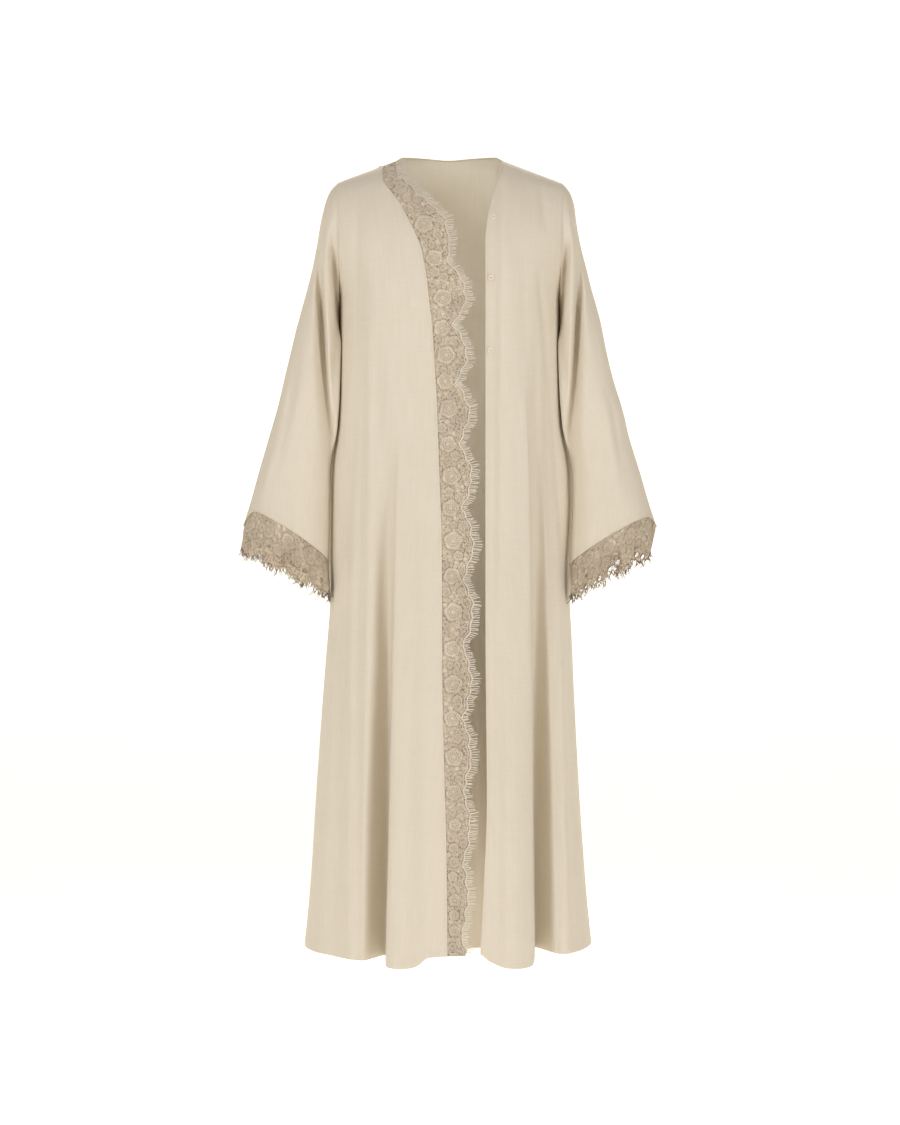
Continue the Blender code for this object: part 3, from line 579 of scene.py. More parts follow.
def sleeve_surface(table, row, turn):
    """Points of a sleeve: turn 0 is its outer line, 90 the front and 180 the inner line."""
    place = row * MM
    outer = np.stack([table.at("x_out", place), 0 * place, table.at("z_out", place)], axis=-1)
    inner = np.stack([table.at("x_in", place), 0 * place, table.at("z_in", place)], axis=-1)
    half = table.at("half", place) + 0 * turn
    for fold in SLEEVE_FOLDS.rows():
        grown = rise(row, fold["row_start"], fold["row_full"])
        if fold["row_end"] <= SLEEVE_LAST:
            grown = grown * rise(-row, -fold["row_end"], -fold["row_full"])
        down = (row - fold["row_start"]) / (fold["row_end"] - fold["row_start"])
        middle = blend(fold["turn_top"], fold["turn_hem"], down)
        off = (turn - middle + 180) % 360 - 180
        half = half - fold["depth"] * MM * grown * np.exp(-((off / fold["width"]) ** 2))
    turned = turn % 360
    beside_body = np.exp(-(((row - 1.3) / 0.85) ** 2)) * rise(turned, 60, 110) * rise(-turned, -205, -175)
    half = half - SLEEVE_SQUEEZE * beside_body
    angle = np.radians(turn)
    points = (outer + inner) / 2 + (outer - inner) / 2 * np.cos(angle)[..., None]
    points[..., 1] = table.at("middle", place) - half * np.sin(angle)
    against = np.exp(-(((turned - 158) / 14) ** 2)) * rise(row, 1.6, 3.2) * rise(-row, -9.8, -7.2)
    points[..., 1] -= INNER_FORWARD * against
    points[..., 0] -= np.sign(points[..., 0]) * INNER_TOWARD * against
    return points


def eased(points, level, reach, keep):
    """Points whose depth is evened out down their columns near a level, so that no crease runs across."""
    z = points[..., 2]
    rows = np.flatnonzero(np.abs(z - level).min(axis=1) < 3.2 * reach)
    rows = np.arange(rows[0], rows[-1] + 1)
    z = z[rows]
    y = points[rows, :, 1]
    spacing = np.abs(np.gradient(z, axis=0)) + 1e-6
    weights = np.exp(-(((z[:, None] - z[None]) / reach) ** 2)) * spacing[None]
    even = (weights * y[None]).sum(axis=1) / weights.sum(axis=1)
    share = np.exp(-(((z - level) / (1.7 * reach)) ** 2)) * keep
    moved = points.copy()
    moved[rows, :, 1] = blend(y, even, share)
    return moved


def grid_normals(points, outward, closed=False):
    """Unit normals of a grid of points, on the side that outward points to."""
    if closed:
        along = np.roll(points, -1, 1) - np.roll(points, 1, 1)
    else:
        along = np.gradient(points, axis=1)
    normals = units(np.cross(along, np.gradient(points, axis=0)))
    sign = np.sign(np.einsum("ijk,ijk->", normals, outward))
    return normals * (sign if sign else 1)


def creased(points, normals, creases):
    """Points pushed along their normals by soft troughs and ridges, each along a slanting line."""
    moved = points.copy()
    x = points[..., 0]
    z = points[..., 2]
    for crease in creases.rows():
        start = np.array([crease["x0"], crease["z0"]])
        run = np.array([crease["x1"], crease["z1"]]) - start
        length = np.hypot(*run)
        along = ((x - start[0]) * run[0] + (z - start[1]) * run[1]) / length ** 2
        off = ((x - start[0]) * run[1] - (z - start[1]) * run[0]) / length
        ends = np.clip(along, 0, 1) * (1 - np.clip(along, 0, 1)) * 4
        weight = np.exp(-((off / crease["width"]) ** 2)) * ends ** 0.8
        moved += normals * (crease["height"] * weight)[..., None]
    return moved


def quad_mesh(name, vertices, quads, uvs):
    """A mesh of quads with a UV map in metres, given for each vertex."""
    mesh = bpy.data.meshes.new(name)
    mesh.vertices.add(len(vertices))
    mesh.vertices.foreach_set("co", np.asarray(vertices, np.float32).ravel())
    mesh.loops.add(quads.size)
    mesh.loops.foreach_set("vertex_index", quads.astype(np.int32).ravel())
    mesh.polygons.add(len(quads))
    mesh.polygons.foreach_set("loop_start", np.arange(0, quads.size, 4, dtype=np.int32))
    mesh.polygons.foreach_set("loop_total", np.full(len(quads), 4, dtype=np.int32))
    mesh.update(calc_edges=True)
    layer = mesh.uv_layers.new(name="cloth")
    layer.data.foreach_set("uv", np.asarray(uvs, np.float32)[quads.ravel()].ravel())
    made = bpy.data.objects.new(name, mesh)
    bpy.context.scene.collection.objects.link(made)
    return made


def shell(name, outer, inner, uv, closed=False, open_cells=None):
    """A thin closed wall between two grids of points, with some cells left open through it."""
    rows, columns = outer.shape[:2]
    spans = columns if closed else columns - 1
    solid = np.ones((rows - 1, spans), bool)
    if open_cells is not None:
        solid &= ~open_cells
    count = rows * columns
    index = np.arange(count).reshape(rows, columns)
    right = np.roll(index, -1, 1)[:, :spans]
    left = index[:, :spans]
    a, b, c, d = left[:-1], left[1:], right[1:], right[:-1]
    front = np.stack([a, b, c, d], -1)[solid]
    rear = np.stack([d, c, b, a], -1)[solid] + count

    def rim(mask, one, two):
        return np.stack([one[mask], two[mask], two[mask] + count, one[mask] + count], -1)

    none = np.zeros((1, spans), bool)
    above = np.concatenate([none, solid])
    below = np.concatenate([solid, none])
    rims = [rim(below & ~above, left, right), rim(above & ~below, right, left)]
    if closed:
        before = np.roll(solid, 1, 1)
        after = solid
    else:
        blank = np.zeros((rows - 1, 1), bool)
        before = np.concatenate([blank, solid], 1)
        after = np.concatenate([solid, blank], 1)
    top, low = index[:-1], index[1:]
    rims += [rim(after & ~before, low, top), rim(before & ~after, top, low)]
    quads = np.concatenate([front, rear] + rims)
    vertices = np.concatenate([outer.reshape(-1, 3), inner.reshape(-1, 3)])
    used = np.unique(quads)
    lookup = np.full(len(vertices), -1)
    lookup[used] = np.arange(len(used))
    quads = lookup[quads]
    uvs = np.concatenate([uv.reshape(-1, 2)] * 2)[used]
    vertices = vertices[used]
    sample = vertices[quads[0]]
    facing = np.cross(sample[1] - sample[0], sample[2] - sample[0]) @ (outer - inner)[0, 0]
    if facing < 0:
        quads = quads[:, ::-1]
    made = quad_mesh(name, vertices, quads, uvs)
    made.data.shade_smooth()
    made.data.set_sharp_from_angle(angle=math.radians(60))
    return made


def arc_uv(points):
    """Distance across and down a grid of points, in metres."""
    across = np.linalg.norm(np.diff(points, axis=1), axis=2)
    across = np.concatenate([np.zeros((len(points), 1)), np.cumsum(across, axis=1)], axis=1)
    middle = across.shape[1] // 2
    across -= across[:, middle:middle + 1]
    down = np.linalg.norm(np.diff(points, axis=0), axis=2).mean(axis=1)
    down = np.concatenate([[0], np.cumsum(down)])
    return np.stack([across, np.broadcast_to(down[:, None], across.shape)], -1)


def band(distance, width):
    """1 at an edge and 0 beyond a band along it."""
    return 1 - rise(distance, width * 0.9, width)


def thickness(distance):
    """Thickness of the crepe at a distance from a turned edge."""
    return SHELL + (HEM_SHELL - SHELL) * band(distance, HEM_BAND)


def cloth_panel(name, points, outward, creases, turned_edge=False, both_sides=False):
    """A crepe panel as a thin shell, thicker at its hem and where its last column is turned in."""
    normals = grid_normals(points, outward)
    columns = np.arange(points.shape[1])
    from_side = np.minimum(columns, columns[::-1]) if both_sides else columns
    free = rise(from_side, 0.0, CALM_COLUMNS)[None, :, None]
    points = blend(points, creased(points, normals, creases), free)
    normals = grid_normals(points, outward)
    uv = arc_uv(points)
    thick = thickness(uv[-1:, :, 1] - uv[..., 1])
    if turned_edge:
        thick = np.maximum(thick, thickness(np.abs(uv[:, -1:, 0] - uv[..., 0])))
    return shell(name, points, points - normals * thick[..., None], uv), points, normals


CREASE_COLUMNS = "x0 z0 x1 z1 width height"
CREASES_RIGHT = Table(
    CREASE_COLUMNS,
    [
        (-160, -40, -161, -500, 7, -2.4),
        (-167, -360, -165, -600, 8, -3.0),
        (-140, -70, -128, -330, 13, 1.6),
        (-184, -150, -120, -300, 16, -1.6),
        (-128, -300, -114, -860, 15, -6.0),
        (-176, -560, -200, -1420, 8, -4.5),
        (-160, -640, -176, -1420, 8, 2.5),
        (-48, -420, -40, -1400, 12, -2.2),
        (-75, -120, -66, -420, 12, -1.4),
    ],
)
CREASES_LEFT = Table(
    CREASE_COLUMNS,
    [
        (92, -30, 90, -150, 5, -2.6),
        (163, -50, 167, -130, 8, -2.2),
        (158, -200, 180, -430, 6, -4.0),
        (176, -380, 200, -700, 6, -4.0),
        (152, -290, 160, -760, 13, -5.0),
        (128, -130, 134, -420, 11, -1.5),
        (188, -150, 140, -290, 16, -1.6),
        (96, -420, 98, -900, 12, -1.6),
        (205, -660, 226, -1420, 8, -4.0),
        (190, -660, 206, -1420, 8, 2.5),
    ],
)
CREASES_SLEEVES = Table(
    CREASE_COLUMNS,
    [
        (-282, -340, -288, -500, 9, 2.2),
        (-284, -470, -334, -620, 8, 2.0),
        (-262, -300, -300, -600, 15, -2.2),
        (-216, -60, -236, -300, 7, -1.8),
        (256, -215, 276, -430, 7, 2.2),
        (274, -400, 294, -640, 8, 2.4),
        (306, -460, 322, -590, 12, -3.0),
        (240, -330, 262, -640, 11, -2.0),
        (222, -60, 240, -280, 7, -1.6),
    ],
)
CREASES_BACK = Table(
    CREASE_COLUMNS,
    [
        (-170, -130, -60, -330, 22, -2.5),
        (170, -130, 70, -320, 22, -2.5),
        (-120, -420, 90, -470, 30, -2.0),
    ],
)


def shader_material(name, colour, rough, specular=0.3, sheen=0.0, sheen_tint=(1, 1, 1)):
    """A material whose shader has its even values on its own sockets."""
    made = bpy.data.materials.new(name)
    made.use_nodes = True
    shader = made.node_tree.nodes["Principled BSDF"]
    shader.inputs["Base Color"].default_value = (*colour, 1)
    shader.inputs["Roughness"].default_value = rough
    shader.inputs["Specular IOR Level"].default_value = specular
    shader.inputs["Sheen Weight"].default_value = sheen
    shader.inputs["Sheen Roughness"].default_value = 0.5
    shader.inputs["Sheen Tint"].default_value = (*sheen_tint, 1)
    return made, made.node_tree, shader


def add_node(tree, kind, settings=(), **inputs):
    """A node with some settings, and inputs that are values or other nodes' sockets."""
    node = tree.nodes.new(kind)
    for key, value in dict(settings).items():
        setattr(node, key, value)
    for key, value in inputs.items():
        numbered = key[0] == "i" and key[1:].isdigit()
        feed(tree, node.inputs[int(key[1:]) if numbered else key.replace("_", " ")], value)
    return node


def feed(tree, socket, value):
    """Links another node's socket to this one, or sets a plain value."""
    if isinstance(value, bpy.types.NodeSocket):
        tree.links.new(value, socket)
    else:
        socket.default_value = value


def mixed(tree, share, one, two):
    """A colour mixed from two by a share."""
    node = add_node(tree, "ShaderNodeMix", {"data_type": "RGBA"})
    for value, number in ((share, 0), (one, 6), (two, 7)):
        feed(tree, node.inputs[number], value)
    return node.outputs[2]


def calc(tree, operation, one, two=0.0):
    return add_node(tree, "ShaderNodeMath", {"operation": operation}, i0=one, i1=two).outputs[0]


def wave(tree, direction, place, scale, distortion):
    """Even bands along one direction, as threads lie."""
    settings = {"bands_direction": direction}
    node = add_node(tree, "ShaderNodeTexWave", settings, Vector=place, Scale=scale, Distortion=distortion)
    return node.outputs["Fac"]


def noise(tree, place, scale, detail, stretch=None, rough=0.5):
    """Uneven shade, drawn out along one direction where it is stretched."""
    if stretch:
        place = add_node(tree, "ShaderNodeMapping", Vector=place, Scale=stretch).outputs[0]
    node = add_node(tree, "ShaderNodeTexNoise", Vector=place, Scale=scale, Detail=detail, Roughness=rough)
    return node.outputs["Fac"]


def ranged(tree, value, **limits):
    return add_node(tree, "ShaderNodeMapRange", Value=value, **limits).outputs[0]


def kept_field(tree, name):
    """A field that is kept on a piece's points."""
    return add_node(tree, "ShaderNodeAttribute", {"attribute_name": name}).outputs["Fac"]


def bumped(tree, shader, height, strength, distance):
    bump = add_node(tree, "ShaderNodeBump", Height=height, Strength=strength, Distance=distance)
    tree.links.new(bump.outputs[0], shader.inputs["Normal"])


CREPE_LIGHT = (0.72, 0.645, 0.52)
CREPE_DARK = (0.675, 0.6, 0.474)


def crepe_material():
    """Matt sateen crepe: fine crossed threads, faint slubs and streaks, and a slow change of shade."""
    made, tree, shader = shader_material("crepe", CREPE_LIGHT, 0.62, 0.28, 0.12, (1.0, 0.94, 0.86))
    through = ranged(tree, kept_field(tree, "thin"), To_Min=0.04, To_Max=0.5)
    tree.links.new(through, shader.inputs["Subsurface Weight"])
    shader.inputs["Subsurface Radius"].default_value = (1.0, 0.92, 0.84)
    shader.inputs["Subsurface Scale"].default_value = 0.005
    place = add_node(tree, "ShaderNodeTexCoord").outputs["Object"]
    cloth = add_node(tree, "ShaderNodeUVMap", {"uv_map": "cloth"}).outputs[0]
    slow = noise(tree, place, 7.0, 3.0)
    slub = noise(tree, cloth, 1.0, 2.0, (900.0, 60.0, 1.0))
    streak = noise(tree, cloth, 1.0, 3.0, (240.0, 14.0, 1.0))
    rib = noise(tree, cloth, 1.0, 2.0, (30.0, 260.0, 1.0))
    crossed = calc(tree, "ADD", calc(tree, "MULTIPLY", streak, 1.3), calc(tree, "MULTIPLY", rib, 0.9))
    grain = calc(tree, "ADD", calc(tree, "MULTIPLY", slub, 0.35), crossed)
    tone = calc(tree, "SUBTRACT", calc(tree, "ADD", slow, grain), 1.3)
    tree.links.new(mixed(tree, tone, (*CREPE_DARK, 1), (*CREPE_LIGHT, 1)), shader.inputs["Base Color"])
    tree.links.new(ranged(tree, slow, To_Min=0.56, To_Max=0.7), shader.inputs["Roughness"])
    warp = wave(tree, "X", cloth, 420.0, 0.6)
    weft = wave(tree, "Y", cloth, 420.0, 0.6)
    bumped(tree, shader, calc(tree, "MULTIPLY", warp, weft), 0.25, 0.00025)
    return made


def lace_material(name, patch_shade, depth):
    """Dense net with flat stitched motifs lighter on it; its small open meshes are painted near black as
    painted shade of what lies behind them, and random patches are painted darker brown as painted shade.
    """
    made, tree, shader = shader_material(name, (0.6, 0.5, 0.38), 0.72, 0.25, 0.1, (1.0, 0.93, 0.84))
    cloth = add_node(tree, "ShaderNodeUVMap", {"uv_map": "cloth"}).outputs[0]
    motif = kept_field(tree, "motif")
    hole_shade = kept_field(tree, "hole_shade")
    # The net's meshes are not cut through: they are painted near black, painted shade for what is seen
    # through them.
    mesh = add_node(tree, "ShaderNodeTexVoronoi", Vector=cloth, Scale=270.0, Randomness=0.9)
    cell = add_node(tree, "ShaderNodeSeparateColor", Color=mesh.outputs["Color"]).outputs[0]
    spot = ranged(tree, mesh.outputs["Distance"], From_Min=0.46, From_Max=0.24)
    some = ranged(tree, cell, From_Min=0.3, From_Max=0.5)
    plain = calc(tree, "SUBTRACT", 1.0, calc(tree, "MULTIPLY", motif, 0.6))
    net = calc(tree, "MULTIPLY", calc(tree, "MULTIPLY", spot, some), plain)
    dark = calc(tree, "MAXIMUM", net, hole_shade)
    cloud = noise(tree, cloth, 190.0, 4.0, rough=0.65)
    broad = noise(tree, cloth, 38.0, 2.0)
    ground = mixed(tree, cloud, (0.57, 0.462, 0.315, 1), (0.80, 0.69, 0.515, 1))
    thread = mixed(tree, cloud, (0.70, 0.593, 0.435, 1), (0.92, 0.825, 0.65, 1))
    stitched = mixed(tree, motif, ground, thread)
    warm = mixed(tree, calc(tree, "MULTIPLY", broad, 0.35), stitched, (0.68, 0.572, 0.445, 1))
    # Random patches darkened toward brown: painted shade, strongest on the cuff lace.
    patch = noise(tree, cloth, 16.0, 3.0, rough=0.6)
    shaded_patch = ranged(tree, patch, From_Min=0.4, From_Max=0.75, To_Max=patch_shade)
    toned = mixed(tree, shaded_patch, warm, (0.36, 0.265, 0.175, 1))
    # Painted shade: the net's meshes and the spots of painted hole shade are darkened to near black.
    colour = mixed(tree, calc(tree, "MULTIPLY", dark, depth), toned, (0.17, 0.11, 0.06, 1))
    tree.links.new(colour, shader.inputs["Base Color"])
    strands = wave(tree, "DIAGONAL", cloth, 210.0, 5.0)
    raised = calc(tree, "MULTIPLY", strands, calc(tree, "SUBTRACT", 1.0, dark))
    bumped(tree, shader, calc(tree, "ADD", raised, cloud), 0.7, 0.0007)
    return made


def thread_material(name, light, dark):
    """Twisted thread: slanting strands round a cord."""
    made, tree, shader = shader_material(name, light, 0.6, 0.3, 0.15, (1.0, 0.95, 0.88))
    cloth = add_node(tree, "ShaderNodeUVMap", {"uv_map": "cloth"}).outputs[0]
    twist = wave(tree, "DIAGONAL", cloth, 300.0, 1.0)
    share = calc(tree, "MULTIPLY", twist, noise(tree, cloth, 90.0, 2.0))
    tree.links.new(mixed(tree, share, (*dark, 1), (*light, 1)), shader.inputs["Base Color"])
    bumped(tree, shader, twist, 0.5, 0.0004)
    return made


CREPE = crepe_material()
LACE = lace_material("lace", 0.42, 0.85)
# The cuff lace is a darker copy of the lace, with its brown patches of painted shade stronger.
CUFF_LACE = lace_material("cuff_lace", 0.85, 0.8)
THREAD = thread_material("thread", (0.90, 0.835, 0.725), (0.74, 0.66, 0.54))
CUFF_THREAD = thread_material("cuff_thread", (0.28, 0.215, 0.15), (0.17, 0.125, 0.08))
CUFF_CORD = thread_material("cuff_cord", (0.80, 0.715, 0.59), (0.58, 0.485, 0.36))
CORD = thread_material("cord", (0.88, 0.80, 0.675), (0.68, 0.59, 0.465))


def dress(piece, material, slot, *nodes):
    """Gives a piece its material and body and hides the imported parts of the nodes that it stands for; the
    slot is not used.
    """
    piece.data.materials.clear()
    piece.data.materials.append(material)
    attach(piece, "root")
    if nodes:
        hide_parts(*nodes)
    return piece


def level_out(points, shift):
    """Level directions out to the points from a middle line that lies a little to the other side."""
    return points * np.array([1, 1, 0]) + np.array([0, shift, 0])


turns, levels = body_rows(*BODY_ROWS)
front_shares = spread(FRONT_COLUMNS, [0.645], 0.12, 1.2)[None, :]


def front_panel(side, word, creases, turned_edge=False):
    """A dressed front panel, with its grid of points and their normals."""
    points = front_surface(side, front_shares, turns, levels)
    points = eased(points, PIT_Z, PIT_REACH, rise(front_shares, 0.02, 0.12))
    facing = level_out(points, -0.02)
    piece, points, normals = cloth_panel(f"front_{word}_cloth", points, facing, creases, turned_edge)
    return dress(piece, CREPE, "crepe", f"front_{word}"), points, normals


front_right, right_points, right_normals = front_panel(RIGHT, "right", CREASES_RIGHT)
front_left, left_points, left_normals = front_panel(LEFT, "left", CREASES_LEFT, turned_edge=True)
back_shares = np.sin(np.linspace(-math.pi / 2, math.pi / 2, BACK_COLUMNS + 1))
back_shares = (0.55 * back_shares + 0.45 * np.linspace(-1, 1, BACK_COLUMNS + 1))[None, :]
back_points = back_surface(back_shares, turns, levels)
back_points = eased(back_points, PIT_Z, PIT_REACH, rise(1 - np.abs(back_shares), 0.02, 0.10))
facing = level_out(back_points, 0.02)
panel = cloth_panel("back_cloth", back_points, facing, CREASES_BACK, both_sides=True)
back, back_points, back_normals = panel
single = rise(-np.abs(back_shares), -0.92, -0.84) * (0.3 + 0.7 * rise(back_points[..., 2], -1.0, -0.4))
thin = back.data.attributes.new("thin", "FLOAT", "POINT").data
thin.foreach_set("value", np.tile(single.ravel(), 2).astype(np.float32))
dress(back, CREPE, "crepe", "back")

HEM_SHIFT = Table(
    "side front outer reach",
    [(-1, -15, 26, 19), (1, -14, 18, 16)],
    scale=1.0,
)


def sleeve_shape(side, table, row, turn):
    """A sleeve's points with its hem raised across the front and drawn down at its outer line."""
    points = sleeve_surface(table, row, turn)
    shift = HEM_SHIFT.rows()[0 if side.sign < 0 else 1]
    off = (turn + 180) % 360 - 180
    front = np.clip(np.sin(np.radians(off)), 0, 1) ** 0.7
    drop = (shift["front"] * front + shift["outer"] * np.exp(-((off / shift["reach"]) ** 2))) * MM
    last = row * 0 + SLEEVE_LAST
    down = sleeve_surface(table, last, turn) - sleeve_surface(table, last - 1.0, turn)
    down[..., 1] = 0
    return points + units(down) * (drop * rise(row, 10.5, SLEEVE_LAST))[..., None]


sleeves = {}
for side, table, word in ((RIGHT, SLEEVE_RIGHT, "right"), (LEFT, SLEEVE_LEFT, "left")):
    row = np.linspace(0, SLEEVE_LAST, SLEEVE_SIZE[0])[:, None]
    turn = (360 * np.arange(SLEEVE_SIZE[1]) / SLEEVE_SIZE[1])[None, :]
    points = sleeve_shape(side, table, row, turn)
    normals = grid_normals(points, points - points.mean(axis=1, keepdims=True), closed=True)
    first, full, fading = CREASE_ROWS
    free = rise(row, first, full) * rise(-row, -SLEEVE_LAST, -fading)
    points = blend(points, creased(points, normals, CREASES_SLEEVES), free[..., None])
    normals = grid_normals(points, points - points.mean(axis=1, keepdims=True), closed=True)
    uv = arc_uv(points)
    thick = thickness(uv[-1:, :, 1] - uv[..., 1])
    sleeve = shell(f"sleeve_{word}_cloth", points, points - normals * thick[..., None], uv, closed=True)
    dress(sleeve, CREPE, "crepe", f"sleeve_{word}")
    sleeves[word] = (points, normals)


def running(points):
    """Distance along a list of points, from its first one."""
    return np.concatenate([[0], np.cumsum(np.linalg.norm(np.diff(points, axis=0), axis=1))])


def along(points, lengths, places):
    """Points at some distances along a list of points."""
    return np.stack([np.interp(places, lengths, points[:, k]) for k in range(3)], axis=-1)


def scallop(z):
    """0 at a dip between two scallops and 1 at a scallop's crest."""
    peaks = np.array([40.0] + SCALLOP_PEAKS + [-1520.0]) * MM
    i = np.clip(np.searchsorted(-peaks, -z, side="right") - 1, 0, len(peaks) - 2)
    return np.abs(np.cos(np.pi * (peaks[i] - z) / (peaks[i] - peaks[i + 1])))


def lace_width(z):
    return blend(LACE_WIDTH.at("valley", z), LACE_WIDTH.at("peak", z), scallop(z))


def free_y(x, z):
    """Depth of the oval of the right front, carried on past the panel's edge."""
    c = np.clip((LACE_START[1] - z) / (LACE_START[1] - PIT_Z), 0, 1)
    turn = np.where(z > PIT_Z, np.minimum(np.degrees(np.arccos(1 - 2 * c)), 179.99), 180.0)
    return body_y(x, z, turn, RIGHT.outer(turn, z), -1)


class LacePlane:
    """A strip of lace: a grid of points whose places are known by distance along and across, in metres."""

    def __init__(self, points, normals, u, v):
        self.points = points
        self.normals = normals
        self.u = u
        self.v = v

    def at(self, u, v, lift=0.0):
        """Points on the strip at distances along and across it."""
        row = np.interp(u, self.u, np.arange(len(self.u)))
        i = np.clip(row.astype(int), 0, len(self.u) - 2)
        t = (row - i)[..., None]
        made = []
        for k in (i, i + 1):
            columns = self.v[k]
            share = np.clip((v - columns[..., 0]) / (columns[..., -1] - columns[..., 0]), 0, 1)
            column = share * (columns.shape[-1] - 1)
            j = np.clip(column.astype(int), 0, columns.shape[-1] - 2)
            f = (column - j)[..., None]
            sheet = self.points + self.normals * lift
            made.append(blend(sheet[k, j], sheet[k, j + 1], f))
        return blend(made[0], made[1], t)


# Quads that close the end of an open tube with four or with six sides.
CAPS = {4: [[0, 1, 2, 3]], 6: [[0, 1, 2, 3], [0, 3, 4, 5]]}
TUBE_SIDE_UV = 1.2 * MM  # how far apart a tube's sides lie in its UV map


def tubes(name, runs, radii, sides=4, closed=False, faces=None):
    """Many thin tubes in one mesh: runs is an array of polylines, radii one for each of their points."""
    runs = np.asarray(runs, float)
    radii = np.broadcast_to(np.asarray(radii, float), runs.shape[:2])
    count, steps = runs.shape[:2]
    if closed:
        direction = units(np.roll(runs, -1, 1) - np.roll(runs, 1, 1))
    else:
        direction = units(np.gradient(runs, axis=1))
    reference = np.array([0.0, -1.0, 0.05]) if faces is None else faces
    side = units(np.cross(direction, np.broadcast_to(reference, direction.shape)))
    out = np.cross(side, direction)
    angles = 2 * np.pi * np.arange(sides) / sides + np.pi / sides
    ring = side[:, :, None] * np.cos(angles)[:, None] + out[:, :, None] * np.sin(angles)[:, None]
    vertices = (runs[:, :, None] + ring * radii[:, :, None, None]).reshape(-1, 3)
    index = np.arange(count * steps * sides).reshape(count, steps, sides)
    following = np.roll(index, -1, 2)
    if closed:
        corners = [index, following, np.roll(following, -1, 1), np.roll(index, -1, 1)]
    else:
        corners = [index[:, :-1], following[:, :-1], following[:, 1:], index[:, 1:]]
    quads = np.stack(corners, -1).reshape(-1, 4)
    if not closed:
        ends = (index[:, 0, ::-1], index[:, -1])
        quads = np.concatenate([quads] + [end[:, cap] for end in ends for cap in CAPS[sides]])
    length = np.cumsum(np.linalg.norm(np.diff(runs, axis=1, prepend=runs[:, :1]), axis=2), axis=1)
    around = np.arange(sides) * TUBE_SIDE_UV
    uv = np.stack(np.broadcast_arrays(around[None, None, :], length[:, :, None]), -1).reshape(-1, 2)
    a, b, c = vertices[quads[0, 0]], vertices[quads[0, 1]], vertices[quads[0, 2]]
    middle = runs.reshape(-1, 3)[0]
    if np.cross(b - a, c - a) @ ((a + c) / 2 - middle) < 0:
        quads = quads[:, ::-1]
    made = quad_mesh(name, vertices, quads, uv)
    made.data.shade_smooth()
    return made


ROSE_LAYERS = ((1.0, 5, 0.0), (0.7, 5, 0.65), (0.42, 3, 0.2), (0.18, 1, 0.0))  # share, petals and turn
# Rings of spots round a rose where the net is painted dark, as painted shade of open meshes.
HOLE_SHADE_RINGS = ((1.0, 1.9, 4.2), (0.7, -1.2, 5.2), (0.42, -1.0, 6.0))  # share, distance out and spacing in mm
LEAF_HALF = 0.24  # half width of a leaf of length one


def petals_reach(angle, petals=5):
    """Share of a flower's size that its petals reach at an angle."""
    return 0.84 + 0.16 * np.abs(np.cos(petals * angle / 2))


def rose(p, q, size, turn):
    """Height and stitched share of a rose of overlapping petals, at places in mm from its middle."""
    r = np.hypot(p, q)
    angle = np.arctan2(q, p) + turn
    height = np.zeros_like(r)
    for share, petals, shift in ROSE_LAYERS:
        rim = size * share * petals_reach(angle + shift, petals)
        petal = 0.30 + 0.22 * np.exp(-(((rim - r) / (0.16 * size)) ** 2)) + 0.12 * (1 - share)
        height = np.where(r < rim, petal, height)
        height -= 0.28 * np.exp(-(((r - rim + 0.9) / 0.8) ** 2)) * (share > 0.3)
    return height, rise(size * petals_reach(angle) - r, -0.5, 0.9)


def leaf(p, q, size, turn):
    """Height and stitched share of a leaf that points along its turn from its base."""
    x = p * math.cos(turn) + q * math.sin(turn)
    y = q * math.cos(turn) - p * math.sin(turn)
    along_leaf = np.clip(x / size, 0, 1)
    half = LEAF_HALF * size * np.sin(np.pi * along_leaf ** 0.8)
    inside = rise(half - np.abs(y), -0.3, 0.7) * (x > 0) * (x < size)
    vein = np.exp(-((y / 0.7) ** 2))
    return inside * (0.34 - 0.26 * vein), inside * (1 - 0.5 * vein)


def rim_of(kind, size, turn, share=1.0, steps=26):
    """Outline of a rose's petals or of a leaf, in millimetres from its middle or base."""
    t = np.linspace(0, 2 * np.pi, steps, endpoint=False)
    if kind == "rose":
        r = size * share * petals_reach(t + turn)
        return r * np.cos(t), r * np.sin(t)
    x = size * (0.5 - 0.5 * np.cos(t))
    y = LEAF_HALF * size * np.sin(np.pi * (x / size) ** 0.8) * np.sign(np.sin(t))
    return x * math.cos(turn) - y * math.sin(turn), x * math.sin(turn) + y * math.cos(turn)


def dots(p, q, size, turn):
    """Spots round a rose and between its petals where the net is painted dark: painted shade of small open
    meshes.
    """
    r = np.hypot(p, q)
    angle = np.arctan2(q, p) + turn
    rim = size * petals_reach(angle)
    made = np.zeros_like(r)
    for share, reach, pitch in HOLE_SHADE_RINGS:
        around = 0.5 + 0.5 * np.cos(angle * np.round(2 * np.pi * size * share / pitch) + share * 5)
        made = np.maximum(made, np.exp(-(((r - rim * share - reach) / 1.15) ** 2)) * (0.25 + 0.75 * around))
    return made * (size > 5)


def motif_fields(motifs, u, v):
    """Height in metres, stitched share and share of painted hole shade over a grid of places, from motifs in
    mm.
    """
    height = np.zeros_like(u)
    mask = np.zeros_like(u)
    painted_hole_share = np.zeros_like(u)
    for kind, cu, cv, size, turn in motifs:
        p = u / MM - cu
        q = v / MM - cv
        near = (np.abs(p) < size * 1.2) & (np.abs(q) < size * 1.2)
        if not near.any():
            continue
        h, m = (rose if kind == "rose" else leaf)(p[near], q[near], size, turn)
        covered = m > 0.4
        height[near] = np.where(covered, np.maximum(h, height[near] * 0.4), height[near])
        mask[near] = np.maximum(mask[near], m)
        if kind == "rose":
            painted_hole_share[near] = np.maximum(painted_hole_share[near] * (1 - m), dots(p[near], q[near], size, turn))
    return height * MM, mask, painted_hole_share


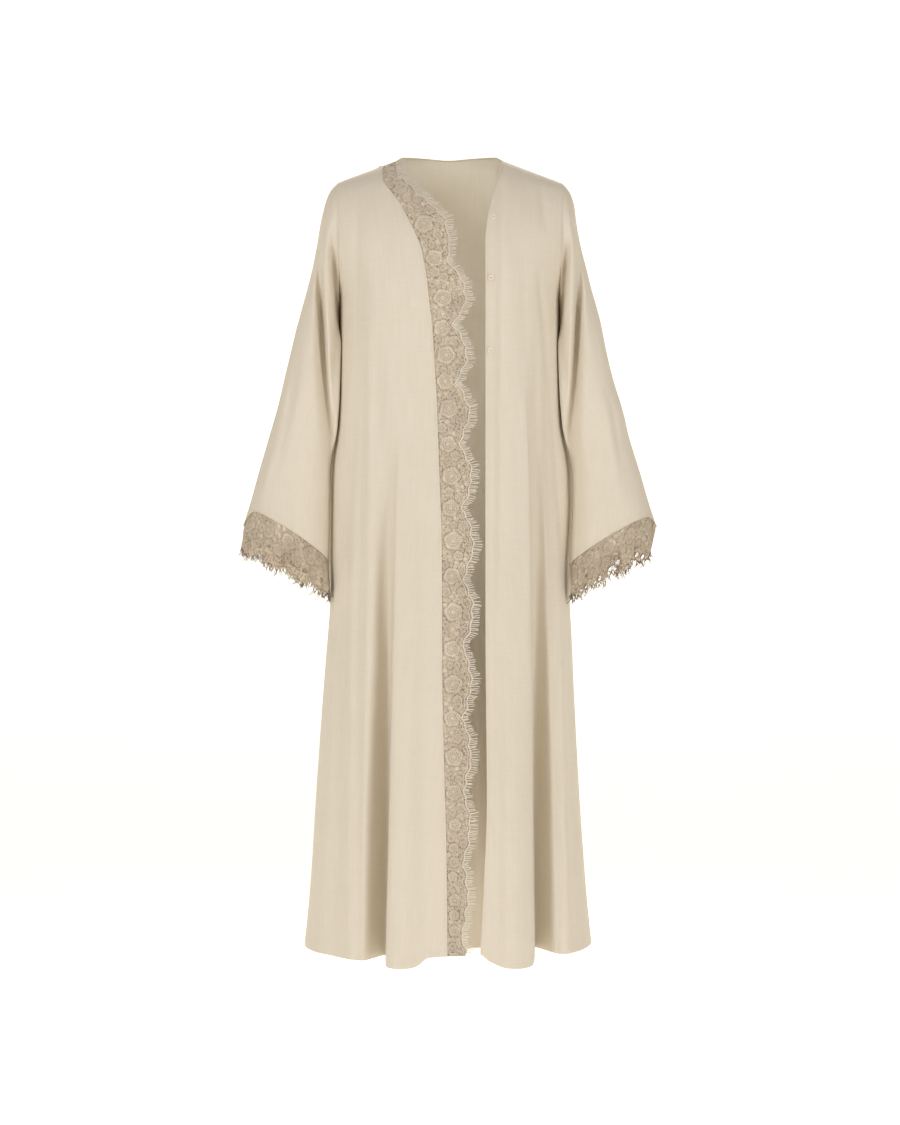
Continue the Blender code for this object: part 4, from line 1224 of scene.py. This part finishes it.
def motif_cords(motifs, plane, lift):
    """Closed outlines of the motifs, laid on the lace."""
    runs = []
    for kind, cu, cv, size, turn in motifs:
        shares = (1.0, 0.7, 0.42, 0.2) if size > 11 else (1.0, 0.55) if size > 5 else (1.0,)
        for share in shares if kind == "rose" else (1.0,):
            p, q = rim_of(kind, size, turn + (1 - share) * 2.1, share)
            runs.append(plane.at((cu + p) * MM, (cv + q) * MM, lift))
    return np.array(runs)


def packed(rng, made, length, width, sizes):
    """Adds flowers and rings to a strip of lace until it is full, the big ones first."""
    spots = [(m[1], m[2], m[3]) if m[0] == "rose" else leaf_middle(m) for m in made]
    for size, tries in sizes:
        for share, across, turn in rng.random((tries, 3)):
            cu = share * length
            wide = width(cu)
            if wide < 1.7 * size:
                continue
            cv = blend(size * 0.75 - 1.0, wide - size * 0.85 - 2.2, across)
            taken = np.array(spots)
            gap = np.hypot(taken[:, 0] - cu, taken[:, 1] - cv) - 0.94 * (taken[:, 2] + size)
            if gap.min() > 0:
                spots.append((cu, cv, size))
                made.append(("rose", cu, cv, size, turn * 2))
    return made


def leaf_middle(motif):
    """Middle and half width of the room that a leaf takes."""
    kind, cu, cv, size, turn = motif
    return cu + size * 0.5 * math.cos(turn), cv + size * 0.5 * math.sin(turn), size * 0.3


def leaves_round(cu, cv, size, count, length, turn):
    """Leaves that stand out round a flower."""
    made = []
    for n in range(count):
        angle = turn + 2 * math.pi * n / count
        base = size + 0.6
        made.append(("leaf", cu + base * math.cos(angle), cv + base * math.sin(angle), length, angle))
    return made


def flower(place, leaves, leaf_length):
    """A rose, at a place with its size and turn, and the leaves that stand out round it."""
    cu, cv, size, turn = place
    return [("rose", *place)] + leaves_round(cu, cv, size, leaves, leaf_length, turn)


def leaves_first(motifs):
    """The motifs in the order in which they are stitched, so that flowers lie over leaves."""
    return [m for m in motifs if m[0] == "leaf"] + [m for m in motifs if m[0] == "rose"]


def specks(u, across, seed):
    """Spots of painted shade, as of small open meshes, that gather towards a lace's free edge."""
    return (steady(u.shape, seed) > 0.8) * rise(across, 0.4, 0.85) * rise(u, 0.02, 0.1)


def lace_sheet(name, plane, motifs, holes, calm=np.ones_like):
    """A strip of net with flowers raised on it and with some through holes."""
    u = np.broadcast_to(plane.u[:, None], plane.v.shape)
    height, mask, painted_hole_share = motif_fields(motifs, u, plane.v)
    painted_hole_share = np.maximum(painted_hole_share * calm(u), specks(u, plane.v / plane.v[:, -1:], len(motifs)))
    points = plane.points + plane.normals * height[..., None]
    open_cells = np.zeros((len(plane.u) - 1, plane.v.shape[1] - 1), bool)
    cell_u = (u[1:, 1:] + u[:-1, :-1]) / 2 / MM
    cell_v = (plane.v[1:, 1:] + plane.v[:-1, :-1]) / 2 / MM
    for cu, cv, size in holes:
        open_cells |= ((cell_u - cu) / size[0]) ** 2 + ((cell_v - cv) / size[1]) ** 2 < 1
    uv = np.stack([plane.v, u], -1)
    rear = plane.points - plane.normals * NET
    made = shell(name, points, rear, uv, open_cells=open_cells)
    # Besides the stitched share, the points keep where the net is painted dark as painted shade.
    mark_points(made, uv, {"motif": mask, "hole_shade": painted_hole_share})
    return made


def mark_points(piece, uv, fields):
    """Keeps fields of the lace's grid on its points, which are known by their places in the UV map."""
    size = len(piece.data.vertices)
    loops = np.empty(len(piece.data.loops), np.int32)
    piece.data.loops.foreach_get("vertex_index", loops)
    places = np.empty(len(piece.data.loops) * 2, np.float32)
    piece.data.uv_layers["cloth"].data.foreach_get("uv", places)
    places = places.reshape(-1, 2)
    rows = np.rint(np.interp(places[:, 1], uv[:, 0, 1], np.arange(len(uv)))).astype(int)
    start = uv[rows, 0, 0]
    end = uv[rows, -1, 0]
    columns = np.rint((places[:, 0] - start) / (end - start) * (uv.shape[1] - 1)).astype(int)
    for name, field in fields.items():
        values = np.zeros(size, np.float32)
        values[loops] = field[rows, np.clip(columns, 0, uv.shape[1] - 1)]
        piece.data.attributes.new(name, "FLOAT", "POINT").data.foreach_set("value", values)


def steady(count, seed):
    """Repeatable uneven numbers from 0 to 1."""
    return np.random.default_rng(seed).random(count)


LASH_TAPER = np.array([1.1, 1.0, 1.0, 1.0, 0.95, 0.65])  # shares of a thread's radius from root to tip


def lashes(name, roots, outward, faces, lengths, radius, seed, bend):
    """Thin threads standing out from an edge, each a little bent and tapered."""
    t = np.linspace(0, 1, len(LASH_TAPER))[None, :, None]
    uneven = steady((len(roots), 4), seed) - 0.5
    tangent = units(np.cross(outward, faces))
    sway = (tangent * uneven[:, :1] + faces * uneven[:, 1:2]) * bend
    hook = tangent * (uneven[:, 2:3] * bend)
    length = (lengths * (1 + 0.25 * uneven[:, 3]))[:, None, None]
    runs = roots[:, None] + (outward[:, None] * t + sway[:, None] * t ** 2 + hook[:, None] * t ** 4) * length
    return tubes(name, runs, radius * LASH_TAPER[None, :], faces=np.broadcast_to(faces[:, None], runs.shape))


# Holes beside each scallop's crest: distance along in mm, share of the width and half sizes in mm.
CREST_HOLES = [
    (-13, 0.80, 2.6, 1.9),
    (-8, 0.87, 1.9, 1.6),
    (9, 0.84, 2.5, 2.0),
    (15, 0.72, 2.2, 1.7),
    (2, 0.60, 1.5, 1.5),
]
OUTLINE_RADIUS = 0.75 * MM
OUTLINE_LIFT = 0.6 * MM
LOW_SCALLOPS = -1150  # below this height in mm the scallops and their flowers are smaller
LACE_FOLD = (1010, 0.5, 5.0, 2.5)  # place down the lace, slant, width and depth in mm of its one fold


def front_lace():
    """The scalloped lace along the right front's edge, with its cord and its eyelash threads."""
    edge = right_points[:, -1]
    lengths = running(edge)
    u = np.arange(0, lengths[-1], 1.6 * MM)
    root = along(edge, lengths, u)
    ahead = along(edge, lengths, np.minimum(u + 8 * MM, lengths[-1]))
    down = units(ahead - along(edge, lengths, np.maximum(u - 8 * MM, 0)))
    across = np.stack([-down[:, 2], 0 * u, down[:, 0]], -1)
    seam = units(np.array([NECK_RIGHT[0] - LACE_START[0], 0, NECK_RIGHT[1] - LACE_START[1]]))
    mix = rise(u, 0.0, 0.03)[:, None]
    across = units(seam * (1 - mix) + across * mix)
    z = root[:, 2]
    width = lace_width(z)
    uneven = 1.5 * MM * np.sin(u / (4.1 * MM)) + 1.2 * MM * np.sin(u / (7.3 * MM) + 1.0)
    width = width + rise(u, 0.02, 0.08) * uneven
    shares = np.linspace(0, 1, 42)[None, :]
    v = -LACE_TUCK + (width[:, None] + LACE_TUCK) * shares
    points = root[:, None] + across[:, None] * v[..., None]
    start = root[:, None, 1] + free_y(points[..., 0], points[..., 2])
    start = start - free_y(root[:, None, 0], root[:, None, 2])
    behind = SHELL + LACE_GAP
    loose = rise(v, 0.004, 0.05) * rise(u, 0.0, 0.06)[:, None]
    ripple = 1.6 * np.sin(u / (15 * MM)) + 1.2 * np.sin(u / (37 * MM) + 0.7)
    ripple = ripple + 0.9 * np.sin(u / (8.3 * MM) + 2.0)
    fold_at, slant, fold_width, fold_depth = LACE_FOLD
    fold = np.exp(-(((u[:, None] / MM - fold_at - v / MM * slant) / fold_width) ** 2)) * fold_depth
    tucked = 3.5 * MM * rise(-v, 0.0, 0.7 * LACE_TUCK) * rise(-u, -0.07, -0.03)[:, None]
    points[..., 1] = np.minimum(start, -0.3 * MM) + behind + tucked
    points[..., 1] += (ripple[:, None] - fold) * MM * loose
    normals = grid_normals(points, np.zeros_like(points) + np.array([0, -1.0, 0]))
    plane = LacePlane(points, normals, u, v)
    rng = np.random.default_rng(7)
    motifs = []
    holes = []
    levels = z / MM
    marks = [40.0] + SCALLOP_PEAKS
    dips = [blend(a, b, 0.5) for a, b in zip(marks[1:], marks[2:])]
    for n, peak in enumerate(SCALLOP_PEAKS):
        cu = float(np.interp(-peak, -levels, u / MM))
        wide = float(LACE_WIDTH.at("peak", peak * MM)) / MM
        size = 16.0 if peak > LOW_SCALLOPS else 10.5
        place = (cu + rng.uniform(-6, 6), wide * 0.36 + 1, size, rng.uniform(0, 2))
        motifs += flower(place, 7, 9.0)
        if n == len(SCALLOP_PEAKS) - 1:
            continue
        for far, share, half_u, half_v in CREST_HOLES:
            holes.append((cu + far + rng.uniform(-2, 2), wide * share, (half_u, half_v)))
    for dip in dips:
        cu = float(np.interp(-dip, -levels, u / MM))
        wide = float(LACE_WIDTH.at("valley", dip * MM)) / MM
        size = min(14.5, wide * 0.42) if dip > LOW_SCALLOPS else 9.0
        place = (cu + rng.uniform(-5, 5), wide * 0.48, size, rng.uniform(0, 2))
        motifs += flower(place, 6, 8.0)

    def room(place):
        return float(np.interp(place * MM, u, width)) / MM

    def fewer_above(far):
        return 0.3 + 0.7 * rise(far, 0.05, 0.2)

    motifs = packed(rng, motifs, u[-1] / MM, room, [(8.5, 260), (6.0, 700), (4.2, 1500), (3.0, 1800)])
    order = leaves_first(motifs)
    piece = lace_sheet("front_lace_net", plane, order, holes, calm=fewer_above)
    dress(piece, LACE, "lace", "lace_front")
    kept = [m for m in order if -2 < m[2] and m[1] > 12]
    outlines = motif_cords(kept, plane, OUTLINE_LIFT)
    cords = tubes("front_lace_outlines", outlines, OUTLINE_RADIUS, sides=3, closed=True)
    dress(cords, CORD, "lace")
    rim_u = u[2:]
    rim = points[2:, -1] + normals[2:, -1] * 0.2 * MM
    knotted = CORD_RADIUS * (0.88 + 0.12 * np.sin(rim_u / (1.9 * MM)))
    cord = tubes("front_lace_edge_cord", rim[None], knotted[None], sides=6)
    inner = plane.at(rim_u, plane.v[2:, -1] - 4.6 * MM, 0.5 * MM)
    second = tubes("front_lace_second_cord", inner[None], 0.7 * MM, sides=6)
    dress(second, CORD, "lace")
    dress(cord, CORD, "lace")
    rim_length = running(rim)
    places = np.arange(4 * MM, rim_length[-1] - 2 * MM, LASH_PITCH)
    places += (steady(len(places), 3) - 0.5) * 1.6 * MM
    roots = along(rim, rim_length, places)
    ahead = along(rim, rim_length, places + 5 * MM)
    direction = units(ahead - along(rim, rim_length, places - 5 * MM))
    facing = units(along(normals[2:, -1], rim_length, places))
    outward = units(np.cross(direction, facing))
    outward *= np.sign(outward[:, :1] + 1e-9)
    outward = units(outward * 0.5 + np.array([0.55, 0, 0.02]))
    grown = LASH_LENGTH * rise(places, 0.0, 0.04) * (0.7 + 0.3 * scallop(roots[:, 2]))
    grown = np.maximum(grown, 4 * MM)
    fringe = lashes("front_lace_lashes", roots, outward, facing, grown, LASH_RADIUS, 5, 0.22)
    dress(fringe, THREAD, "lace", "fringe_front")
    return piece


front_net = front_lace()


CUFF_HOLES = Table(
    "side x z half_x half_z",
    [
        (1, 293, -708, 4.5, 4.5),
        (1, 283, -724, 9, 6),
        (1, 262, -735, 3.5, 3.5),
        (1, 255, -745, 4, 3.5),
        (1, 271, -749, 7.5, 4),
        (1, 238, -750, 3.5, 3.5),
        (1, 232, -763, 7, 5.5),
        (1, 326, -694, 3.5, 3.5),
        (1, 337, -698, 3.5, 3.5),
        (1, 317, -705, 3, 2.6),
        (1, 309, -716, 4, 3),
        (-1, -268, -750, 4.5, 3),
        (-1, -258, -754, 3, 2.4),
        (-1, -228, -768, 6, 5),
        (-1, -282, -741, 2.5, 2),
        (-1, -310, -712, 2.0, 1.6),
        (-1, -240, -758, 3.0, 2.4),
    ],
    scale=1.0,
)


CUFF_SIZE = (270, 50)  # columns round the cuff and rows down it
CUFF_FLOWERS = 10
CUFF_PIVOT = -707  # height in mm from which holes on the back of a cuff move outwards


def cuff(side, table, word, seed):
    """The lace that hangs from inside a sleeve's hem, with its ragged edge of threads."""
    turn = np.linspace(184, 544, CUFF_SIZE[0])[:, None]
    last = np.full_like(turn, float(SLEEVE_LAST))
    ring = sleeve_shape(side, table, last, turn)
    above = sleeve_shape(side, table, last - 0.5, turn)
    middle = ring.mean(axis=0, keepdims=True)
    upward = units(above - ring)
    around = np.gradient(ring, axis=0)
    outward = units(np.cross(around, upward))
    outward *= np.sign(np.einsum("ijk,ijk->", outward, ring - middle))
    top = ring - outward * (HEM_SHELL + LACE_GAP)
    drop = CUFF_DROP.rows()[0 if side.sign < 0 else 1]
    outer = np.array([drop["x_out"], drop["middle"], drop["z_out"]]) * MM
    inner = np.array([drop["x_in"], drop["middle"], drop["z_in"]]) * MM
    angle = np.radians(turn)
    low = (outer + inner) / 2 + (outer - inner) / 2 * np.cos(angle)[..., None]
    low[..., 1] -= drop["half"] * MM * np.sin(angle)
    scallops = np.abs(np.cos(angle * CUFF_SCALLOPS / 2))
    uneven = 1.8 * MM * np.sin(angle * 31) + 1.1 * MM * np.sin(angle * 53 + 1)
    ragged = CUFF_SCALLOP_DEPTH * (scallops - 0.6) + uneven
    low = low + units(low - top) * ragged[..., None]
    full = np.linalg.norm(low - top, axis=-1, keepdims=True)
    share = np.linspace(0, 1, CUFF_SIZE[1])[None, :]
    v = -CUFF_TUCK + (full[..., 0] + CUFF_TUCK) * share
    points = top + np.where(v[..., None] < 0, -upward, (low - top) / full) * v[..., None]
    loose = rise(v, 0.0, 0.06)
    swell = 2.0 * np.sin(angle * 8 + seed) + 1.4 * np.sin(angle * 15 + 2 * seed) + 0.8 * np.sin(angle * 23)
    off = (turn + 180) % 360 - 180
    if side.sign > 0:
        for ridge, reach, height in ((74, 4.0, 5.0), (87, 3.5, 4.5), (80.5, 2.5, -3.5)):
            swell = swell + height * np.exp(-(((off - ridge) / reach) ** 2))
    points = points + outward * (swell * MM * loose)[..., None]
    normals = grid_normals(points, points - middle)
    u = running(points.mean(axis=1))
    plane = LacePlane(points, normals, u, v)
    rng = np.random.default_rng(seed)
    motifs = []
    step = u[-1] / MM / CUFF_FLOWERS
    depth = float(full.mean()) / MM
    for n in range(CUFF_FLOWERS):
        cu = step * (n + 0.5) + rng.uniform(-3, 3)
        place = (cu, depth * 0.34 + rng.uniform(-3, 3), 14.0, rng.uniform(0, 2))
        motifs += flower(place, 7, 8.0)

    def room(place):
        return depth - 3

    motifs = packed(rng, motifs, u[-1] / MM, room, [(10.0, 160), (7.0, 300), (4.6, 600), (3.2, 700)])
    holes = []
    facing = (off[:, 0] > 4) & (off[:, 0] < 176)
    grid_u = np.broadcast_to(u[:, None], v.shape)
    for hole in CUFF_HOLES.rows():
        if hole["side"] * side.sign < 0:
            continue
        for shown, gain, away in ((facing, 1.2, 1.0), (~facing, 1.6, 1.018)):
            off_x = points[..., 0] / MM - hole["x"] * away
            off_z = points[..., 2] / MM - CUFF_PIVOT - (hole["z"] - CUFF_PIVOT) * away
            gap = off_x ** 2 + off_z ** 2
            gap[~shown] = 1e9
            i, j = np.unravel_index(np.argmin(gap), gap.shape)
            size = (hole["half_x"] * gain, hole["half_z"] * gain)
            holes.append((grid_u[i, j] / MM, v[i, j] / MM - 0.5, size))
    for n in range(9):
        place = (0.52 + 0.05 * n) * u[-1] / MM
        if side.sign * math.sin(n * 3.7) > -0.2:
            cu = place + rng.uniform(-4, 4)
            cv = depth * rng.uniform(0.72, 0.86)
            holes.append((cu, cv, (rng.uniform(1.8, 3.6), rng.uniform(1.6, 3.0))))
    clear = []
    for motif in leaves_first(motifs):
        nearest = min(math.hypot(motif[1] - hole[0], motif[2] - hole[1]) for hole in holes)
        if nearest > motif[3] * 0.9:
            clear.append(motif)
    piece = lace_sheet(f"cuff_{word}_net", plane, clear, holes)
    dress(piece, CUFF_LACE, "lace", f"lace_cuff_{word}_front", f"lace_cuff_{word}_back")
    outlines = motif_cords(clear, plane, OUTLINE_LIFT)
    cords = tubes(f"cuff_{word}_outlines", outlines, OUTLINE_RADIUS, sides=3, closed=True)
    dress(cords, CUFF_CORD, "lace")
    eyelets = []
    t = np.linspace(0, 2 * np.pi, 26, endpoint=False)
    for cu, cv, (half_u, half_v) in holes:
        round_u = cu + (half_u + 0.5) * np.cos(t)
        round_v = cv + (half_v + 0.5) * np.sin(t)
        eyelets.append(plane.at(round_u * MM, round_v * MM, 0.1 * MM))
    rings = tubes(f"cuff_{word}_eyelets", np.array(eyelets), OUTLINE_RADIUS, closed=True)
    dress(rings, CUFF_THREAD, "lace")
    rim = points[:, -1]
    length = running(rim)
    cord = tubes(f"cuff_{word}_edge_cord", rim[None], CUFF_CORD_RADIUS, sides=6)
    dress(cord, CUFF_CORD, "lace")
    places = np.arange(1 * MM, length[-1], CUFF_LASH_PITCH)
    places = places + (steady(len(places), seed + 2) - 0.5) * 3.5 * MM
    roots = along(rim, length, places)
    away = units(along(points[:, -1] - points[:, -6], length, places))
    faces = units(along(normals[:, -1], length, places))
    grown = CUFF_LASH * (0.45 + 0.75 * steady(len(places), seed + 3) ** 1.3)
    fringe = lashes(f"cuff_{word}_lashes", roots, away, faces, grown, CUFF_LASH_RADIUS, seed, 1.3)
    dress(fringe, CUFF_THREAD, "lace", f"fringe_cuff_{word}")
    return piece


cuffs = [cuff(RIGHT, SLEEVE_RIGHT, "right", 11), cuff(LEFT, SLEEVE_LEFT, "left", 23)]


EDGE_STITCH = (4.2 * MM, 2.8 * MM, 0.26 * MM)  # spacing, length and radius of the stitches
HEM_STITCH = (4.5 * MM, 3.2 * MM, 0.22 * MM)
STITCH_LIFT = 0.12 * MM
EDGE_ROLL = (0.5 * MM, 0.95 * MM)  # depth in the cloth and radius of a rolled edge
HEM_ROLL = (0.6 * MM, 1.25 * MM)


def stitches(name, line, stitch):
    """A row of short threads laid along a line."""
    pitch, length, radius = stitch
    far = running(line)
    starts = np.arange(pitch, far[-1] - 2 * pitch, pitch)
    share = np.linspace(0, 1, 3)[None, :]
    runs = along(line, far, (starts[:, None] + length * share).ravel()).reshape(len(starts), 3, 3)
    made = tubes(name, runs, radius * np.array([0.6, 1.0, 0.6])[None, :])
    dress(made, THREAD, "crepe")


def line_in(points, normals, off, from_edge=False):
    """Points on a grid at a distance up from its last row, or in from its last column."""
    uv = arc_uv(points)
    sheet = points + normals * STITCH_LIFT
    if from_edge:
        steps = uv[:, -1:, 0] - uv[..., 0]
    else:
        steps = (uv[-1:, :, 1] - uv[..., 1]).T
        sheet = np.swapaxes(sheet, 0, 1)
    picked = []
    for step, line in zip(np.abs(steps), sheet):
        picked.append([np.interp(off, step[::-1], part[::-1]) for part in line.T])
    return np.array(picked)


def rolled(name, points, normals, roll, closed=False):
    """A rolled edge along a line of the cloth."""
    depth, radius = roll
    line = points - normals * depth
    dress(tubes(name, line[None], radius, sides=6, closed=closed), CREPE, "crepe")


def sewing():
    """Rolled edges and rows of stitches at the hems and front edges."""
    fronts = {"front_right": (right_points, right_normals), "front_left": (left_points, left_normals)}
    for name, (points, normals) in fronts.items():
        stitches(f"{name}_hem_stitches", line_in(points, normals, 12 * MM), HEM_STITCH)
        stitches(f"{name}_edge_stitches", line_in(points, normals, 3.2 * MM, from_edge=True)[2:], EDGE_STITCH)
        rolled(f"{name}_rolled_edge", points[:, -1], normals[:, -1], EDGE_ROLL)
    stitches("back_hem_stitches", line_in(back_points, back_normals, 12 * MM), HEM_STITCH)
    for word, (points, normals) in sleeves.items():
        line = line_in(points, normals, 6 * MM)
        stitches(f"sleeve_{word}_hem_stitches", np.concatenate([line, line[:1]]), EDGE_STITCH)
        rolled(f"sleeve_{word}_rolled_hem", points[-1], normals[-1], HEM_ROLL, closed=True)


def button_material(name, colour, rough):
    """Satin button: faint swirls in its colour and tiny scratches in its polish."""
    made, tree, shader = shader_material(name, colour, rough, 0.4)
    place = add_node(tree, "ShaderNodeTexCoord").outputs["Object"]
    swirl = add_node(tree, "ShaderNodeTexNoise", Vector=place, Scale=320.0, Detail=3.0, Distortion=1.5)
    pale = tuple(min(1.0, c * 1.12) for c in colour)
    tree.links.new(mixed(tree, swirl.outputs["Fac"], (*colour, 1), (*pale, 1)), shader.inputs["Base Color"])
    bumped(tree, shader, noise(tree, place, 2400.0, 2.0), 0.2, 0.0001)
    return made


def disc(place, turn, size, sides):
    """A round block, of a radius and a thickness."""
    radius, depth = size
    bpy.ops.mesh.primitive_cylinder_add(
        vertices=sides,
        radius=radius,
        depth=depth,
        location=place,
        rotation=turn,
    )


def hoop(place, turn, size, steps, sides):
    """A ring, of a radius and of its section's radius."""
    radius, thickness_radius = size
    bpy.ops.mesh.primitive_torus_add(
        major_radius=radius,
        minor_radius=thickness_radius,
        major_segments=steps,
        minor_segments=sides,
        location=place,
        rotation=turn,
    )


def button(n, x, z, body, dark):
    """A small button with a raised rim, a dished middle, two holes and the thread that holds it."""
    gap = (left_points[..., 0] - x) ** 2 + (left_points[..., 2] - z) ** 2
    i, j = np.unravel_index(np.argmin(gap), gap.shape)
    normal = Vector(left_normals[i, j])
    base = Vector((x, left_points[i, j, 1], z))
    turn = normal.to_track_quat("Z", "Y").to_euler()
    body_at, rim_at, dish_at, hole_at, thread_at = [base + normal * level * MM for level in BUTTON_LEVELS]
    deselect()
    bpy.ops.object.add(type="MESH", location=(0, 0, 0))
    piece = bpy.context.object
    piece.name = f"button_{n}_round"
    piece.data.name = piece.name
    bpy.ops.object.mode_set(mode="EDIT")
    disc(body_at, turn, BUTTON_BODY, 36)
    hoop(rim_at, turn, BUTTON_RIM, 36, 10)
    hoop(dish_at, turn, BUTTON_DISH, 30, 8)
    bpy.ops.object.mode_set(mode="OBJECT")
    count = len(piece.data.polygons)
    bpy.ops.object.mode_set(mode="EDIT")
    across = Vector((BUTTON_HOLE_PLACE, 0, 0))
    for step in (across, -across):
        disc(hole_at + step, turn, BUTTON_HOLE, 14)
    disc(thread_at, (0, math.pi / 2, 0), BUTTON_THREAD, 10)
    bpy.ops.object.mode_set(mode="OBJECT")
    piece.select_set(False)
    dress(piece, body, "button", f"button_{n}")
    piece.data.materials.append(dark)
    for face in piece.data.polygons[count:]:
        face.material_index = 1
    piece.data.shade_smooth()
    piece.data.set_sharp_from_angle(angle=math.radians(40))


def buttons():
    """The three buttons down the left front."""
    body = button_material("button", (0.72, 0.64, 0.53), 0.45)
    dark = button_material("button_thread", (0.33, 0.25, 0.17), 0.7)
    for n, (x, z) in enumerate(BUTTONS, 1):
        button(n, x, z, body, dark)


sewing()
buttons()


def add_stage():
    """A pale floor that curves up behind into a backdrop."""
    floor_z = -1.95
    depth = 6.6
    half_width = 9.0
    bend = 1.2
    data = bmesh.new()
    profile = [(-7.0, 0.0), (depth - bend, 0.0)]
    for a in np.linspace(0.1, math.pi / 2, 14):
        profile.append((depth - bend + bend * math.sin(a), bend - bend * math.cos(a)))
    profile.append((depth, 6.0))
    rows = []
    for y, z in profile:
        rows.append([data.verts.new((x, y, floor_z + z)) for x in (-half_width, half_width)])
    for low, high in zip(rows, rows[1:]):
        data.faces.new([low[0], low[1], high[1], high[0]])
    mesh = bpy.data.meshes.new("floor")
    data.to_mesh(mesh)
    data.free()
    mesh.shade_smooth()
    floor = bpy.data.objects.new("floor", mesh)
    bpy.context.scene.collection.objects.link(floor)
    made, tree, shader = shader_material("floor", (0.95, 0.95, 0.95), 0.9, 0.1)
    shader.inputs["Emission Color"].default_value = (1.0, 0.94, 0.84, 1)
    shader.inputs["Emission Strength"].default_value = 0.6
    mesh.materials.append(made)


def add_light(name, place, target, size, power, colour=(1, 1, 1)):
    data = bpy.data.lights.new(name, "AREA")
    data.shape = "RECTANGLE"
    data.size, data.size_y = size
    data.energy = power
    data.color = colour
    lamp = bpy.data.objects.new(name, data)
    lamp.location = place
    lamp.rotation_euler = (Vector(target) - Vector(place)).to_track_quat("-Z", "Y").to_euler()
    bpy.context.scene.collection.objects.link(lamp)


PHOTO_HEIGHT = 1125  # pixels
PIXEL = 1.761 * MM
DAYLIGHT = (0.95, 0.985, 1.09)


def add_view():
    """The camera level with the middle of the garment, and the soft studio light."""
    scene = bpy.context.scene
    distance = 5.0
    sensor = 36.0
    frame_height = PHOTO_HEIGHT * PIXEL
    data = bpy.data.cameras.new("camera")
    data.sensor_width = sensor
    data.lens = sensor * distance / frame_height
    camera = bpy.data.objects.new("camera", data)
    camera.location = (0.0023, -distance, -0.707)
    camera.rotation_euler = (math.pi / 2, 0, 0)
    scene.collection.objects.link(camera)
    scene.camera = camera
    middle = (0, 0, -0.7)
    add_light("key", (-3.2, -3.4, 0.6), middle, (1.6, 3.0), 88, DAYLIGHT)
    add_light("fill", (3.4, -3.2, 0.2), middle, (1.6, 3.0), 72, DAYLIGHT)
    add_light("top", (0.0, -1.4, 3.0), middle, (2.4, 1.6), 18)
    add_light("rear", (0.0, 2.5, 1.7), (0, 0, -0.3), (1.6, 1.4), 70)
    world = bpy.data.worlds.new("world")
    world.use_nodes = True
    world.node_tree.nodes["Background"].inputs[0].default_value = (1.0, 0.85, 0.62, 1)
    world.node_tree.nodes["Background"].inputs[1].default_value = 0.22
    scene.world = world
    scene.view_settings.view_transform = "Standard"


add_stage()
add_view()
